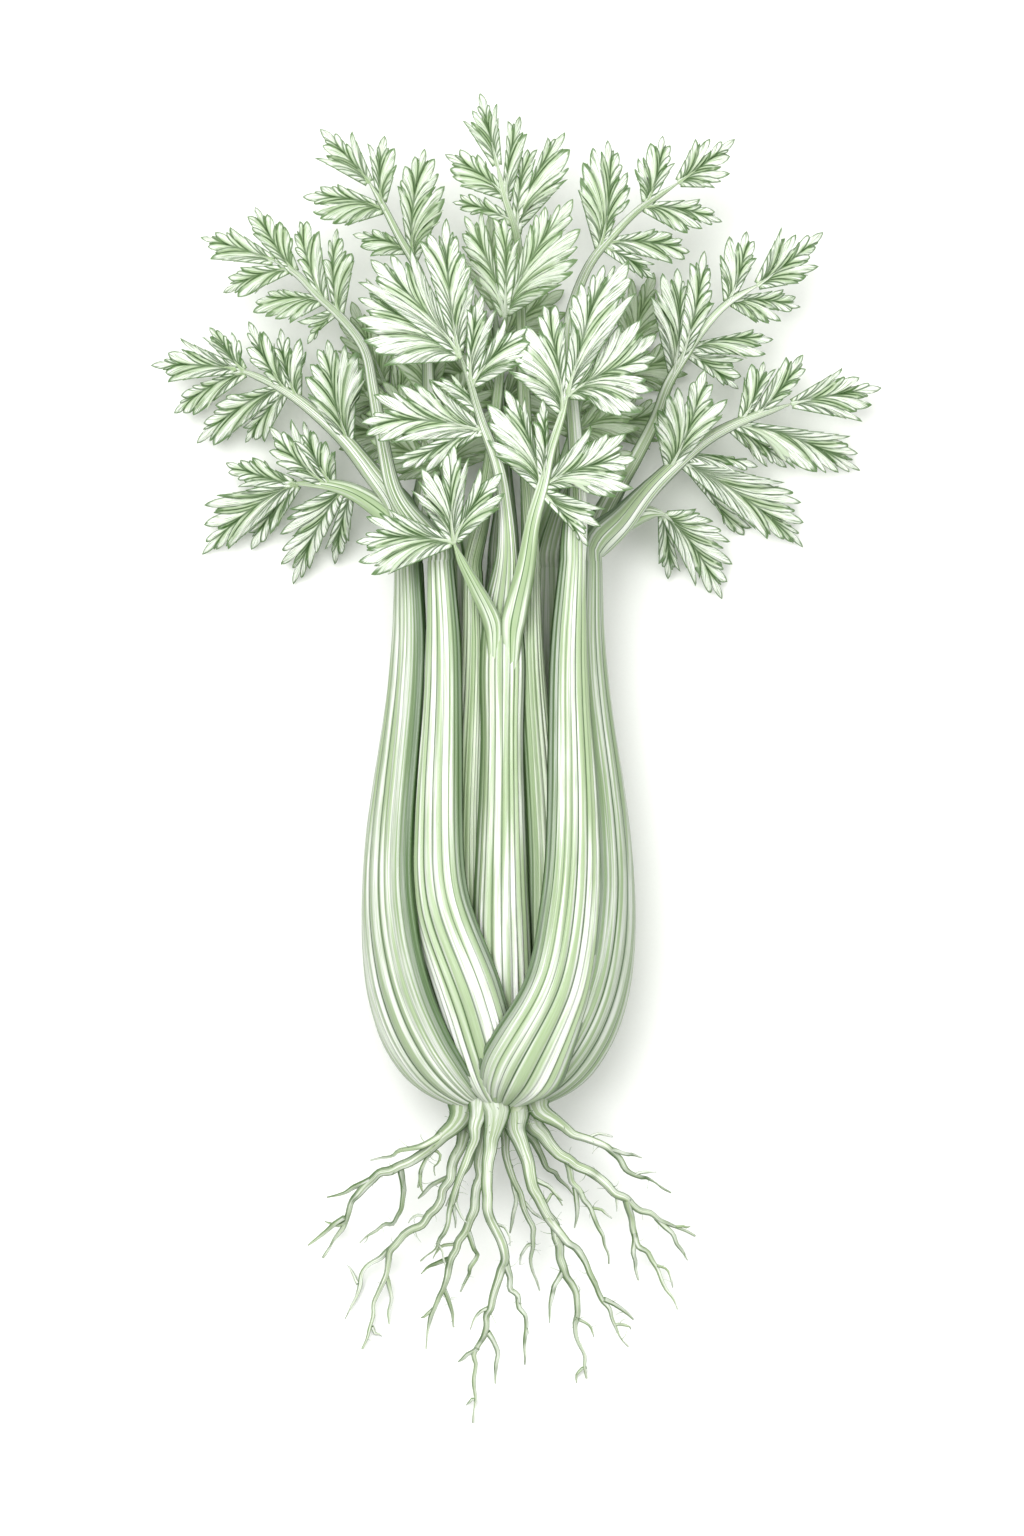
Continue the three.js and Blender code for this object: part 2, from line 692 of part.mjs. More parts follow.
// One leaflet: its outline runs up the left lobes to the tip and down the right ones, with notches between.
function leafletSolid(base, leaflet, extra) {
  const root = new THREE.Vector2(base.x, base.y);
  const tip = flat(leaflet.tip);
  const heading = tip.clone().sub(root);
  const length = heading.length();
  heading.normalize();
  const across = new THREE.Vector2(-heading.y, heading.x);
  const rootLeft = root.clone().addScaledVector(across, BASE_HALF_WIDTH);
  const rootRight = root.clone().addScaledVector(across, -BASE_HALF_WIDTH);
  const peaks = [rootLeft, ...leaflet.left.map(flat), tip, ...leaflet.right.map(flat).reverse(), rootRight];
  const outline = [];
  peaks.forEach((peak, i) => {
    outline.push(peak);
    const next = peaks[i + 1];
    if (!next || peak.distanceTo(next) < NOTCH_SPAN) return;
    const between = peak.clone().add(next).multiplyScalar(0.5);
    const along = THREE.MathUtils.clamp(between.clone().sub(root).dot(heading), 0, length);
    const midrib = root.clone().addScaledVector(heading, along);
    outline.push(between.lerp(midrib, NOTCH));
  });
  const middle = root.clone().lerp(tip, 0.5);
  const growth = 1 + (2 * extra) / length;
  const grown = outline.map((p) => p.clone().sub(middle).multiplyScalar(growth).add(middle));
  const depth = BLADE_THICKNESS + 2.4 * extra;
  const geometry = new THREE.ExtrudeGeometry(new THREE.Shape(grown), { depth, bevelEnabled: false });
  const place = geometry.getAttribute("position");
  for (let i = 0; i < place.count; i++) {
    const from = new THREE.Vector2(place.getX(i), place.getY(i)).sub(root);
    const along = THREE.MathUtils.clamp(from.dot(heading) / length, 0, 1.05);
    const aside = from.dot(across);
    const rise = THREE.MathUtils.lerp(base.z, leaflet.tip[2], along) - CUP * aside * aside;
    place.setZ(i, place.getZ(i) - depth / 2 + rise);
  }
  return solidOf(geometry);
}

function branchSolid({ stem, leaflets }, extra) {
  const places = stemCurve(stem).getSpacedPoints(60);
  const rod = tapered(stem, STEM_RADII, STEM_SIDES, stem.length + 1, extra);
  const blades = leaflets.map((leaflet) => {
    const from = flat(leaflet.from);
    const distance = (p) => from.distanceTo(new THREE.Vector2(p.x, p.y));
    const base = places.reduce((best, p) => (distance(p) < distance(best) ? p : best));
    return leafletSolid(base, leaflet, extra);
  });
  return blades.reduce((whole, blade) => whole.add(blade), rod);
}

const leafSolid = (branches, extra) =>
  branches.map((branch) => branchSolid(branch, extra)).reduce((whole, branch) => whole.add(branch));

// The crown is turned about the head's axis: a domed plate under the stalks, and the neck of the roots below.
const CROWN_PROFILE = [
  [0, -12], [8, -11], [13.5, -8], [16.5, -4], [17.5, 0], [17.5, 4], [14.5, 7], [7, 9], [0, 9.5],
];
const CROWN_SIDES = 18;

function crownSolid(extra) {
  const profile = CROWN_PROFILE.map(([radius, height]) => {
    const scale = 1 + extra / 14;
    return new THREE.Vector2(radius * scale, height * scale);
  });
  const geometry = new THREE.LatheGeometry(profile, CROWN_SIDES);
  geometry.scale(1, 1, HEAD_DEPTH);
  return solidOf(geometry);
}

// Each root is a main strand and its branches. A strand runs through its points and thins from its first
// radius to its second.
const ROOTS = {
  far_left: [
    {
      radius: [3.4, 1],
      points: [
        [-15, -4, 2], [-21, -14, 0], [-28, -21, -4], [-38, -27, -10], [-48, -32, -17],
        [-54, -36, -22], [-60, -45, -30], [-64, -55, -37], [-72, -67, -44],
      ],
    },
    {
      radius: [1.6, 0.7],
      points: [
        [-20, -12, 1], [-26, -17, 1], [-32, -20, -1], [-38, -21, -4], [-44, -24, -8],
        [-52, -26, -14],
      ],
    },
    { radius: [1.2, 0.7], points: [[-52, -34, -20], [-60, -38, -27], [-70, -42, -36]] },
    { radius: [1.1, 0.7], points: [[-63, -50, -33], [-70, -55, -39], [-78, -62, -44]] },
    {
      radius: [1.4, 0.7],
      points: [
        [-40, -28, -12], [-39, -41, -23], [-42, -51, -32], [-48, -54, -38], [-57, -61, -44],
      ],
    },
    { radius: [1.2, 0.7], points: [[-26, -20, -2], [-31, -28, -9], [-33, -37, -16]] },
  ],
  left: [
    {
      radius: [3, 1],
      points: [
        [-12, -6, -5], [-17, -22, -10], [-22, -36, -16], [-25, -45, -20], [-34, -53, -26],
        [-44, -63, -33], [-46, -74, -38], [-50, -82, -41], [-51, -92, -43], [-56, -104, -45],
      ],
    },
    {
      radius: [1.3, 0.7],
      points: [
        [-42, -61, -32], [-50, -67, -38], [-57, -74, -42], [-58, -82, -44], [-63, -92, -45],
      ],
    },
    { radius: [1.1, 0.7], points: [[-46, -74, -38], [-44, -84, -42], [-45, -94, -44]] },
    { radius: [1.1, 0.7], points: [[-21, -33, -15], [-27, -36, -20], [-33, -42, -26]] },
  ],
  left_inner: [
    {
      radius: [2.6, 0.8],
      points: [
        [-9, -8, 9], [-13, -24, 7], [-18, -36, 2], [-20, -45, -4], [-21, -53, -9], [-26, -60, -16],
        [-32, -67, -23],
      ],
    },
    { radius: [1.2, 0.7], points: [[-17, -34, 3], [-18, -44, -4], [-18, -53, -11]] },
  ],
  centre_left: [
    {
      radius: [3.2, 1],
      points: [
        [-5, -8, 1], [-8, -26, -3], [-9, -38, -7], [-11, -48, -11], [-16, -58, -17],
        [-20, -67, -23], [-22, -76, -29], [-27, -87, -36], [-29, -96, -41], [-30, -104, -44],
      ],
    },
    { radius: [1.2, 0.7], points: [[-20, -66, -22], [-25, -68, -28], [-32, -73, -35]] },
    { radius: [1.1, 0.7], points: [[-23, -78, -30], [-20, -86, -36], [-19, -95, -41]] },
    { radius: [1.2, 0.7], points: [[-13, -54, -14], [-10, -64, -21], [-12, -71, -26], [-16, -80, -33]] },
  ],
  tap: [
    {
      radius: [3.4, 0.9],
      points: [
        [-2, -9, 10], [-5, -26, 8], [-5, -42, 3], [-2, -53, -3], [2, -64, -9], [-1, -76, -16],
        [-5, -87, -23], [-6, -96, -29], [-10, -105, -35], [-10, -120, -41], [-11, -134, -45],
      ],
    },
    {
      radius: [1.5, 0.7],
      points: [
        [2, -65, -10], [5, -78, -18], [10, -90, -27], [10, -100, -34], [10, -110, -40],
      ],
    },
    { radius: [1.2, 0.7], points: [[-5, -96, -29], [-1, -104, -34], [-2, -113, -39], [-2, -118, -42]] },
    { radius: [1, 0.7], points: [[-9, -103, -34], [-17, -109, -41]] },
  ],
  centre: [
    {
      radius: [2.2, 0.8],
      points: [
        [2, -9, -9], [3, -26, -13], [7, -38, -17], [11, -48, -22], [13, -58, -27], [12, -68, -32],
        [16, -80, -39],
      ],
    },
    { radius: [1.1, 0.7], points: [[5, -33, -15], [6, -43, -20], [5, -50, -24], [4, -56, -28]] },
  ],
  centre_right: [
    {
      radius: [3.8, 1],
      points: [
        [6, -8, 3], [11, -26, 0], [16, -41, -5], [22, -55, -12], [25, -67, -19], [28, -76, -25],
        [32, -86, -32], [30, -96, -37], [34, -106, -41], [35, -116, -45],
      ],
    },
    { radius: [1.4, 0.7], points: [[26, -70, -21], [21, -80, -28], [20, -93, -36]] },
    {
      radius: [2, 0.8],
      points: [
        [19, -48, -8], [26, -58, -13], [32, -63, -18], [36, -72, -24], [39, -79, -29],
        [44, -87, -35], [47, -96, -40], [52, -103, -44],
      ],
    },
    { radius: [1.1, 0.7], points: [[42, -83, -32], [49, -87, -38], [54, -92, -43]] },
    { radius: [1.1, 0.7], points: [[14, -33, -2], [19, -36, -5], [25, -42, -10]] },
  ],
  right: [
    {
      radius: [3.6, 1],
      points: [
        [12, -6, -5], [20, -19, -8], [29, -27, -11], [37, -31, -14], [45, -38, -18],
        [52, -43, -22], [61, -49, -28], [69, -53, -34], [79, -58, -42],
      ],
    },
    { radius: [1.2, 0.7], points: [[63, -50, -30], [70, -58, -36], [76, -68, -43]] },
    {
      radius: [1.7, 0.8],
      points: [
        [51, -42, -21], [53, -52, -28], [55, -60, -33], [62, -67, -38], [66, -77, -42],
        [72, -88, -45],
      ],
    },
    { radius: [1.1, 0.7], points: [[54, -56, -30], [55, -67, -38], [56, -76, -43]] },
    {
      radius: [1.6, 0.7],
      points: [
        [27, -26, -11], [30, -36, -16], [36, -46, -22], [41, -56, -29], [44, -69, -37],
      ],
    },
    { radius: [1.2, 0.7], points: [[30, -37, -17], [31, -45, -22], [30, -54, -28]] },
  ],
  far_right: [
    {
      radius: [2.6, 0.8],
      points: [
        [16, -4, 6], [22, -9, 6], [29, -14, 4], [36, -17, 1], [44, -21, -3], [49, -27, -9],
        [54, -32, -15], [60, -34, -22], [69, -40, -32],
      ],
    },
    { radius: [1.1, 0.7], points: [[44, -21, -3], [50, -23, -8], [57, -25, -14]] },
  ],
  under_left: [
    {
      radius: [2.6, 0.8],
      points: [
        [-6, -8, -12], [-9, -18, -20], [-13, -28, -29], [-18, -37, -37], [-22, -46, -43],
      ],
    },
  ],
  under_right: [
    {
      radius: [2.6, 0.8],
      points: [
        [9, -8, -12], [13, -18, -20], [18, -28, -29], [24, -35, -37], [30, -42, -43],
      ],
    },
  ],
};

function rootSolid(strands, extra) {
  const solids = strands.map(({ radius, points }) =>
    tapered(points, radius, ROOT_SIDES, points.length - 1, extra),
  );
  return solids.reduce((whole, strand) => whole.add(strand));
}

const material = (color, roughness) => new THREE.MeshStandardMaterial({ color, roughness, metalness: 0 });
const MATERIALS = {
  stalk: material(COLOURS.stalk, 0.4),
  innerStalk: material(COLOURS.innerStalk, 0.45),
  leaf: material(COLOURS.leaf, 0.55),
  crown: material(COLOURS.crown, 0.75),
  root: material(COLOURS.root, 0.8),
};

const plant = new THREE.Group();
const taken = []; // the room that each placed piece takes, with its clearance

// Adds a piece, cut clear of those already placed, with its mesh's origin at the place that it grows from.
function add(name, make, origin, finish) {
  let solid = make(0);
  for (const room of taken) {
    if (solid.intersect(room).volume() > 0) solid = largest(solid.subtract(room));
  }
  taken.push(make(CLEARANCE));
  const anchor = new THREE.Vector3(...origin);
  const geometry = geometryOf(solid).translate(-anchor.x, -anchor.y, -anchor.z);
  const mesh = new THREE.Mesh(geometry, finish);
  mesh.name = name;
  mesh.position.copy(anchor);
  plant.add(mesh);
}

add("crown", crownSolid, [0, 0, 0], MATERIALS.crown);
for (const [place, stalk] of Object.entries(STALKS)) {
  const finish = stalk.from ? MATERIALS.innerStalk : MATERIALS.stalk;
  const foot = stalkCentre(stalk, stalkBase(stalk));
  add(`stalk_${place}`, (extra) => stalkSolid(stalk, extra), foot.toArray(), finish);
}
for (const [place, strands] of Object.entries(ROOTS)) {
  add(`root_${place}`, (extra) => rootSolid(strands, extra), strands[0].points[0], MATERIALS.root);
}
for (const [place, branches] of Object.entries(LEAVES)) {
  const grown = branches.map(({ stem, leaflets }) => ({ stem: stemFrom(place, stem), leaflets }));
  add(`leaf_${place}`, (extra) => leafSolid(grown, extra), grown[0].stem[0], MATERIALS.leaf);
}
for (const [place, { stem, ...habit }] of Object.entries(UNDER_LEAVES)) {
  const grown = { stem: stemFrom(place, stem), ...habit };
  const branch = { stem: grown.stem, leaflets: underLeaflets(grown) };
  add(`leaf_${place}`, (extra) => leafSolid([branch], extra), grown.stem[0], MATERIALS.leaf);
}

const room = new THREE.Box3().setFromObject(plant);
const middle = room.getCenter(new THREE.Vector3());
plant.position.set(-middle.x, -middle.y, -room.min.z);

const head = new THREE.Group();
head.add(plant);

export default head;
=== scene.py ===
import math
import random

import bpy
import numpy as np
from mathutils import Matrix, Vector


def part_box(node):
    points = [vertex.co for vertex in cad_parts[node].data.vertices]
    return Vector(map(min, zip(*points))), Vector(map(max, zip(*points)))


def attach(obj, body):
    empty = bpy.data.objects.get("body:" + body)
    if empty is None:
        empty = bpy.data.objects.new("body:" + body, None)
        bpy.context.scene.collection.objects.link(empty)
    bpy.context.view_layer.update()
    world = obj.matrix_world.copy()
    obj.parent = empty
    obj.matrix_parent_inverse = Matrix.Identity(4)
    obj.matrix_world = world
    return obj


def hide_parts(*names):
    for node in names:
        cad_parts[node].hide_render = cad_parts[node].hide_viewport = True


# A whole head of celery lying on its back. Lengths in the dictionaries are in millimetres, measured from the
# crown: x to the right, y towards the leaf tips and z up, out of the head's front.

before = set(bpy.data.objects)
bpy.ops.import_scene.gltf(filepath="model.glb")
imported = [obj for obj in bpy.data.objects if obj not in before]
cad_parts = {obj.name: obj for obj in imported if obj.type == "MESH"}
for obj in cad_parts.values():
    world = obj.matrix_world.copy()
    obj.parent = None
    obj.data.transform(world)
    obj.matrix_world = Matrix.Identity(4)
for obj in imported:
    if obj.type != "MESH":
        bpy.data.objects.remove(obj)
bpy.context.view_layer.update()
millimetre = 0.001

head = {
    "radius": 58,  # half the head's width where it is fullest
    "fullestAt": 75,
    "throatRadius": 46.5,  # where the leaves begin
    "throatAt": 195,
    "baseDepth": 6,
    "flatness": 0.8,  # the lying head is this much shallower than it is wide
    "crownBottom": -12,
}

crownLow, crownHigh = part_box("crown")
crownPlace = np.array([
    (crownLow.x + crownHigh.x) / 2,
    crownLow.y - head["crownBottom"] * millimetre,
    (crownLow.z + crownHigh.z) / 2,
])
floorLevel = -crownPlace[2] / millimetre


def inFrame(points):
    return np.asarray(points, float) * millimetre + crownPlace


def linear(hexColour):  # an sRGB hex colour as the linear RGBA that Blender's sockets take
    channels = [int(hexColour[i:i + 2], 16) / 255 for i in (1, 3, 5)]
    return (*[c / 12.92 if c <= 0.04045 else ((c + 0.055) / 1.055) ** 2.4 for c in channels], 1)


def addNode(tree, kind, inputs=(), **settings):
    node = tree.nodes.new(kind)
    for name, value in settings.items():
        setattr(node, name, value)
    for key, value in dict(inputs).items():
        if isinstance(value, bpy.types.NodeSocket):
            tree.links.new(value, node.inputs[key])
        else:
            node.inputs[key].default_value = value
    return node


def smoothPath(points, spacing):  # a Catmull-Rom curve through the points, cut at even spacing
    p = np.asarray(points, float)
    p = np.vstack([2 * p[0] - p[1], p, 2 * p[-1] - p[-2]])
    t = np.linspace(0, 1, 24, endpoint=False)[:, None]
    fine = []
    for a, b, c, d in zip(p, p[1:], p[2:], p[3:]):
        bend = (2 * a - 5 * b + 4 * c - d) * t**2 + (3 * b - a - 3 * c + d) * t**3
        fine.append(0.5 * (2 * b + (c - a) * t + bend))
    fine = np.vstack([*fine, p[-2:-1]])
    run = np.concatenate([[0], np.cumsum(np.linalg.norm(np.diff(fine[:, :3], axis=0), axis=1))])
    stations = np.linspace(0, run[-1], max(4, round(run[-1] / spacing)) + 1)
    return np.column_stack([np.interp(stations, run, column) for column in fine.T]), stations


def unit(vectors):
    return vectors / np.maximum(np.linalg.norm(vectors, axis=-1, keepdims=True), 1e-9)


def addMesh(name, vertices, edges, faces, attributes):
    mesh = bpy.data.meshes.new(name)
    mesh.from_pydata([tuple(v) for v in vertices], edges, faces)
    for key, values in attributes.items():
        values = np.asarray(values, np.float32)
        kind, field = ("FLOAT_VECTOR", "vector") if values.ndim == 2 else ("FLOAT", "value")
        mesh.attributes.new(key, kind, "POINT").data.foreach_set(field, values.ravel())
    piece = bpy.data.objects.new(name, mesh)
    bpy.context.scene.collection.objects.link(piece)
    return piece


finishes = {
    # crest, shade and valley colour a rib's top, the bands along it and the furrow beside it, whose own green
    # is darkened further as painted shade; the valley colour is also the painted shade at a stalk's margins,
    # on its sides and on pieces given less light, and flank is how much of it the sides get, which face up
    # less than the two values of flankShadeBelow
    "stalk": {
        "crest": "#eff1ec", "shade": "#92a97a", "furrowAndShade": "#2f531c", "flank": 0.5, "flankShadeBelow": (0.1, 0.8),
        "fibreWidth": 0.7, "fibreLength": 26, "fibreHeight": 0.15, "roughness": 0.38, "wax": 0.12,
    },
    "innerStalk": {
        "crest": "#dbe3d1", "shade": "#a5bb8e", "furrowAndShade": "#42672b", "flank": 0.3, "flankShadeBelow": (0.1, 0.8),
        "fibreWidth": 0.8, "fibreLength": 22, "fibreHeight": 0.12, "roughness": 0.45, "wax": 0.08,
    },
    "stem": {
        "crest": "#e0e7d9", "shade": "#95ad7d", "furrowAndShade": "#43662b", "flank": 0.6, "flankShadeBelow": (0.3, 0.85),
        "fibreWidth": 0.6, "fibreLength": 18, "fibreHeight": 0.12, "roughness": 0.42, "wax": 0.08,
    },
    "crown": {
        "crest": "#e2e7d6", "shade": "#b2c199", "furrowAndShade": "#5c7a43", "flank": 0.4, "flankShadeBelow": (0.1, 0.8),
        "fibreWidth": 0.9, "fibreLength": 9, "fibreHeight": 0.35, "roughness": 0.7, "wax": 0.0,
    },
    "root": {
        "crest": "#eaede6", "shade": "#9db085", "furrowAndShade": "#3d5f28", "flank": 0.95, "flankShadeBelow": (0.4, 0.92),
        "fibreWidth": 0.5, "fibreLength": 7, "fibreHeight": 0.2, "roughness": 0.72, "wax": 0.0,
    },
    # a blade goes from middle at its midrib to light at its edge, which is painted shade toward the midrib's
    # low gutter, with dark colours for the lines over its veins and for painted shade in its notches, creases
    # and midrib groove, and edge for its rim
    "blade": {
        "light": "#eaeee6", "middle": "#e1e8d8", "dark": "#8ba572", "veinAndShade": "#2f521b", "edge": "#44692b",
        "under": "#bccab0", "linesPerMm": 1.5, "lineBreaksPerMm": 0.08, "lineHeight": 0.25, "roughness": 0.5,
    },
}


def newMaterial(name):
    material = bpy.data.materials.new(name)
    material.use_nodes = True
    tree = material.node_tree
    tree.nodes.clear()
    shader = addNode(tree, "ShaderNodeBsdfPrincipled")
    addNode(tree, "ShaderNodeOutputMaterial", {"Surface": shader.outputs["BSDF"]})
    return material, tree, shader


def ribbedFlesh(name, finish):
    # plant flesh grown in ribs: pale crests, green valleys darkened further as painted shade, and fine fibres
    # that run along it; painted shade also darkens a stalk's margins, its sides and pieces given less light
    material, tree, shader = newMaterial(name)
    rib, across, along, margin, tone = [
        addNode(tree, "ShaderNodeAttribute", attribute_name=key).outputs["Fac"]
        for key in ("rib", "across", "along", "margin", "tone")
    ]
    noises = []  # fine fibres, and bands of a few fibres each
    for width, length, detail, roughness in (
        (finish["fibreWidth"], finish["fibreLength"], 3.0, 0.6),
        (5 * finish["fibreWidth"], 4 * finish["fibreLength"], 1.0, 0.5),
    ):
        x = addNode(tree, "ShaderNodeMath", {0: across, 1: 1 / width}, operation="MULTIPLY").outputs[0]
        y = addNode(tree, "ShaderNodeMath", {0: along, 1: 1 / length}, operation="MULTIPLY").outputs[0]
        linePlace = addNode(tree, "ShaderNodeCombineXYZ", {"X": x, "Y": y}).outputs[0]
        noises.append(addNode(tree, "ShaderNodeTexNoise", {
            "Vector": linePlace, "Scale": 1.0, "Detail": detail, "Roughness": roughness,
        }).outputs["Fac"])
    fibres, bands = noises
    place = addNode(tree, "ShaderNodeTexCoord").outputs
    patches = addNode(tree, "ShaderNodeTexNoise", {
        "Vector": place["Object"], "Scale": 28.0, "Detail": 2.0,
    }).outputs["Fac"]
    band, streak = [
        addNode(tree, "ShaderNodeMapRange", {
            "Value": noise, "From Min": low, "From Max": high,
        }, interpolation_type="SMOOTHSTEP").outputs["Result"]
        for noise, low, high in ((bands, 0.42, 0.58), (fibres, 0.42, 0.66))
    ]
    patch = addNode(tree, "ShaderNodeMapRange", {
        "Value": patches, "From Min": 0.35, "From Max": 0.7,
    }).outputs["Result"]
    skin = linear(finish["crest"])
    for share, strength in ((band, 0.85), (streak, 0.6), (patch, 0.3)):
        part = addNode(tree, "ShaderNodeMath", {0: share, 1: strength}, operation="MULTIPLY").outputs[0]
        skin = addNode(tree, "ShaderNodeMix", {
            0: part, 6: skin, 7: linear(finish["shade"]),
        }, data_type="RGBA").outputs[2]
    up = addNode(tree, "ShaderNodeSeparateXYZ", {"Vector": place["Normal"]}).outputs["Z"]
    # how far the skin turns to the valley colour: in the furrows, part their own green and part painted
    # shade; at a stalk's margins, painted shade; on sides that face up less, painted shade
    inValley, marginShade, paintedFlankShade = [
        addNode(tree, "ShaderNodeMapRange", {
            "Value": value, "From Min": low, "From Max": high, "To Min": share, "To Max": 0.0,
        }, interpolation_type="SMOOTHSTEP").outputs["Result"]
        for value, (low, high), share in (
            (rib, (0.1, 0.5), 0.92), (margin, (0.22, 0.7), 0.8), (up, finish["flankShadeBelow"], finish["flank"]),
        )
    ]
    furrowAndShade = linear(finish["furrowAndShade"])
    lined = addNode(tree, "ShaderNodeMix", {0: inValley, 6: skin, 7: furrowAndShade}, data_type="RGBA").outputs[2]
    # painted shade along a stalk's margins, where it tucks in beside its neighbour
    marginShaded = addNode(tree, "ShaderNodeMix", {0: marginShade, 6: lined, 7: furrowAndShade}, data_type="RGBA").outputs[2]
    # painted shade: a piece given less light than 1 turns toward the valley colour
    withPaintedLight = addNode(tree, "ShaderNodeMix", {0: tone, 6: furrowAndShade, 7: marginShaded}, data_type="RGBA").outputs[2]
    # painted shade on the sides, by how little they face up
    shaded = addNode(tree, "ShaderNodeMix", {0: paintedFlankShade, 6: withPaintedLight, 7: furrowAndShade}, data_type="RGBA").outputs[2]
    tree.links.new(shaded, shader.inputs["Base Color"])
    bump = addNode(tree, "ShaderNodeBump", {
        "Height": fibres, "Strength": 0.5, "Distance": finish["fibreHeight"] * millimetre,
    })
    tree.links.new(bump.outputs["Normal"], shader.inputs["Normal"])
    shader.inputs["Roughness"].default_value = finish["roughness"]
    shader.inputs["IOR"].default_value = 1.4
    shader.inputs["Coat Weight"].default_value = finish["wax"]
    shader.inputs["Subsurface Weight"].default_value = 0.12
    shader.inputs["Subsurface Radius"].default_value = (0.6, 1.0, 0.35)
    shader.inputs["Subsurface Scale"].default_value = 1.5 * millimetre
    return material


# what each point of a leaflet knows: its distances to the nearest crease, midrib, edge and notch, its places
# across and along the lines, how far out it is, how much light is painted on it, less being painted shade,
# and whether it is on the underside
bladeAttributes = ("creaseGap", "ribGap", "edgeGap", "across", "along", "notchGap", "reach", "tone", "under")


def leafBlade(name, finish):
    # thin leaf flesh: a satin skin, dark furrows over the veins and fine lines that fan out to the teeth,
    # with painted shade in its folds and toward its midrib
    material, tree, shader = newMaterial(name)
    here = {
        key: addNode(tree, "ShaderNodeAttribute", attribute_name=key).outputs["Fac"]
        for key in bladeAttributes
    }
    x, y = [
        addNode(tree, "ShaderNodeMath", {0: here[way], 1: finish[perMm]}, operation="MULTIPLY").outputs[0]
        for way, perMm in (("across", "linesPerMm"), ("along", "lineBreaksPerMm"))
    ]
    linePlace = addNode(tree, "ShaderNodeCombineXYZ", {"X": x, "Y": y}).outputs[0]
    lines = addNode(tree, "ShaderNodeTexNoise", {
        "Vector": linePlace, "Scale": 1.0, "Detail": 3.0, "Roughness": 0.65,
    }).outputs["Fac"]
    place = addNode(tree, "ShaderNodeTexCoord").outputs["Object"]
    patches = addNode(tree, "ShaderNodeTexNoise", {
        "Vector": place, "Scale": 60.0, "Detail": 2.0,
    }).outputs["Fac"]
    line = addNode(tree, "ShaderNodeMapRange", {
        "Value": lines, "From Min": 0.42, "From Max": 0.6,
    }, interpolation_type="SMOOTHSTEP").outputs["Result"]
    veinlet = addNode(tree, "ShaderNodeMapRange", {
        "Value": lines, "From Min": 0.54, "From Max": 0.61, "To Max": 0.6,
    }, interpolation_type="SMOOTHSTEP").outputs["Result"]
    # painted shade toward the midrib, where the blade lies low in its gutter: middle there, going to light at
    # its edge
    outer = addNode(tree, "ShaderNodeMapRange", {
        "Value": here["reach"], "From Min": 0.15, "From Max": 0.8,
    }, interpolation_type="SMOOTHSTEP").outputs["Result"]
    flesh = addNode(tree, "ShaderNodeMix", {
        0: outer, 6: linear(finish["middle"]), 7: linear(finish["light"]),
    }, data_type="RGBA")
    lineShare = addNode(tree, "ShaderNodeMath", {0: line, 1: 0.6}, operation="MULTIPLY").outputs[0]
    hatched = addNode(tree, "ShaderNodeMix", {
        0: lineShare, 6: flesh.outputs[2], 7: linear(finish["dark"]),
    }, data_type="RGBA")
    lined = addNode(tree, "ShaderNodeMix", {
        0: veinlet, 6: hatched.outputs[2], 7: linear(finish["veinAndShade"]),
    }, data_type="RGBA")
    # painted shade in the blade's folds: dark in the notches between lobes, unevenly, and darker in the
    # creases between fingers and along the midrib's groove; and a darker line round the rim
    nearNotch, nearCrease, nearRib, nearEdge = [
        addNode(tree, "ShaderNodeMapRange", {
            "Value": here[gap], "From Min": whole, "From Max": gone, "To Min": share, "To Max": 0.0,
        }, interpolation_type="SMOOTHSTEP").outputs["Result"]
        for gap, whole, gone, share in (  # whole within the first distance in mm and gone at the second
            ("notchGap", 0.2, 2.2, 0.5), ("creaseGap", 0.12, 0.55, 0.85), ("ribGap", 0.15, 0.75, 0.75),
            ("edgeGap", 0.15, 0.75, 0.9),
        )
    ]
    nearFold = addNode(tree, "ShaderNodeMath", {
        0: nearNotch, 1: patches, 2: nearNotch,
    }, operation="MULTIPLY_ADD").outputs[0]
    skin = lined.outputs[2]
    for share, colour in (
        (nearFold, "dark"), (nearCrease, "veinAndShade"), (nearRib, "veinAndShade"), (nearEdge, "edge"),
    ):
        skin = addNode(tree, "ShaderNodeMix", {
            0: share, 6: skin, 7: linear(finish[colour]),
        }, data_type="RGBA").outputs[2]
    # painted shade: a leaf given less light than 1 turns toward the dark colour
    withPaintedLight = addNode(tree, "ShaderNodeMix", {
        0: here["tone"], 6: linear(finish["dark"]), 7: skin,
    }, data_type="RGBA")
    bothSides = addNode(tree, "ShaderNodeMix", {
        0: here["under"], 6: withPaintedLight.outputs[2], 7: linear(finish["under"]),
    }, data_type="RGBA")
    tree.links.new(bothSides.outputs[2], shader.inputs["Base Color"])
    bump = addNode(tree, "ShaderNodeBump", {
        "Height": lines, "Strength": 0.6, "Distance": finish["lineHeight"] * millimetre,
    })
    tree.links.new(bump.outputs["Normal"], shader.inputs["Normal"])
    shader.inputs["Roughness"].default_value = finish["roughness"]
    shader.inputs["IOR"].default_value = 1.42
    shader.inputs["Subsurface Weight"].default_value = 0.1
    shader.inputs["Subsurface Radius"].default_value = (0.5, 1.0, 0.3)
    shader.inputs["Subsurface Scale"].default_value = 0.8 * millimetre
    return material


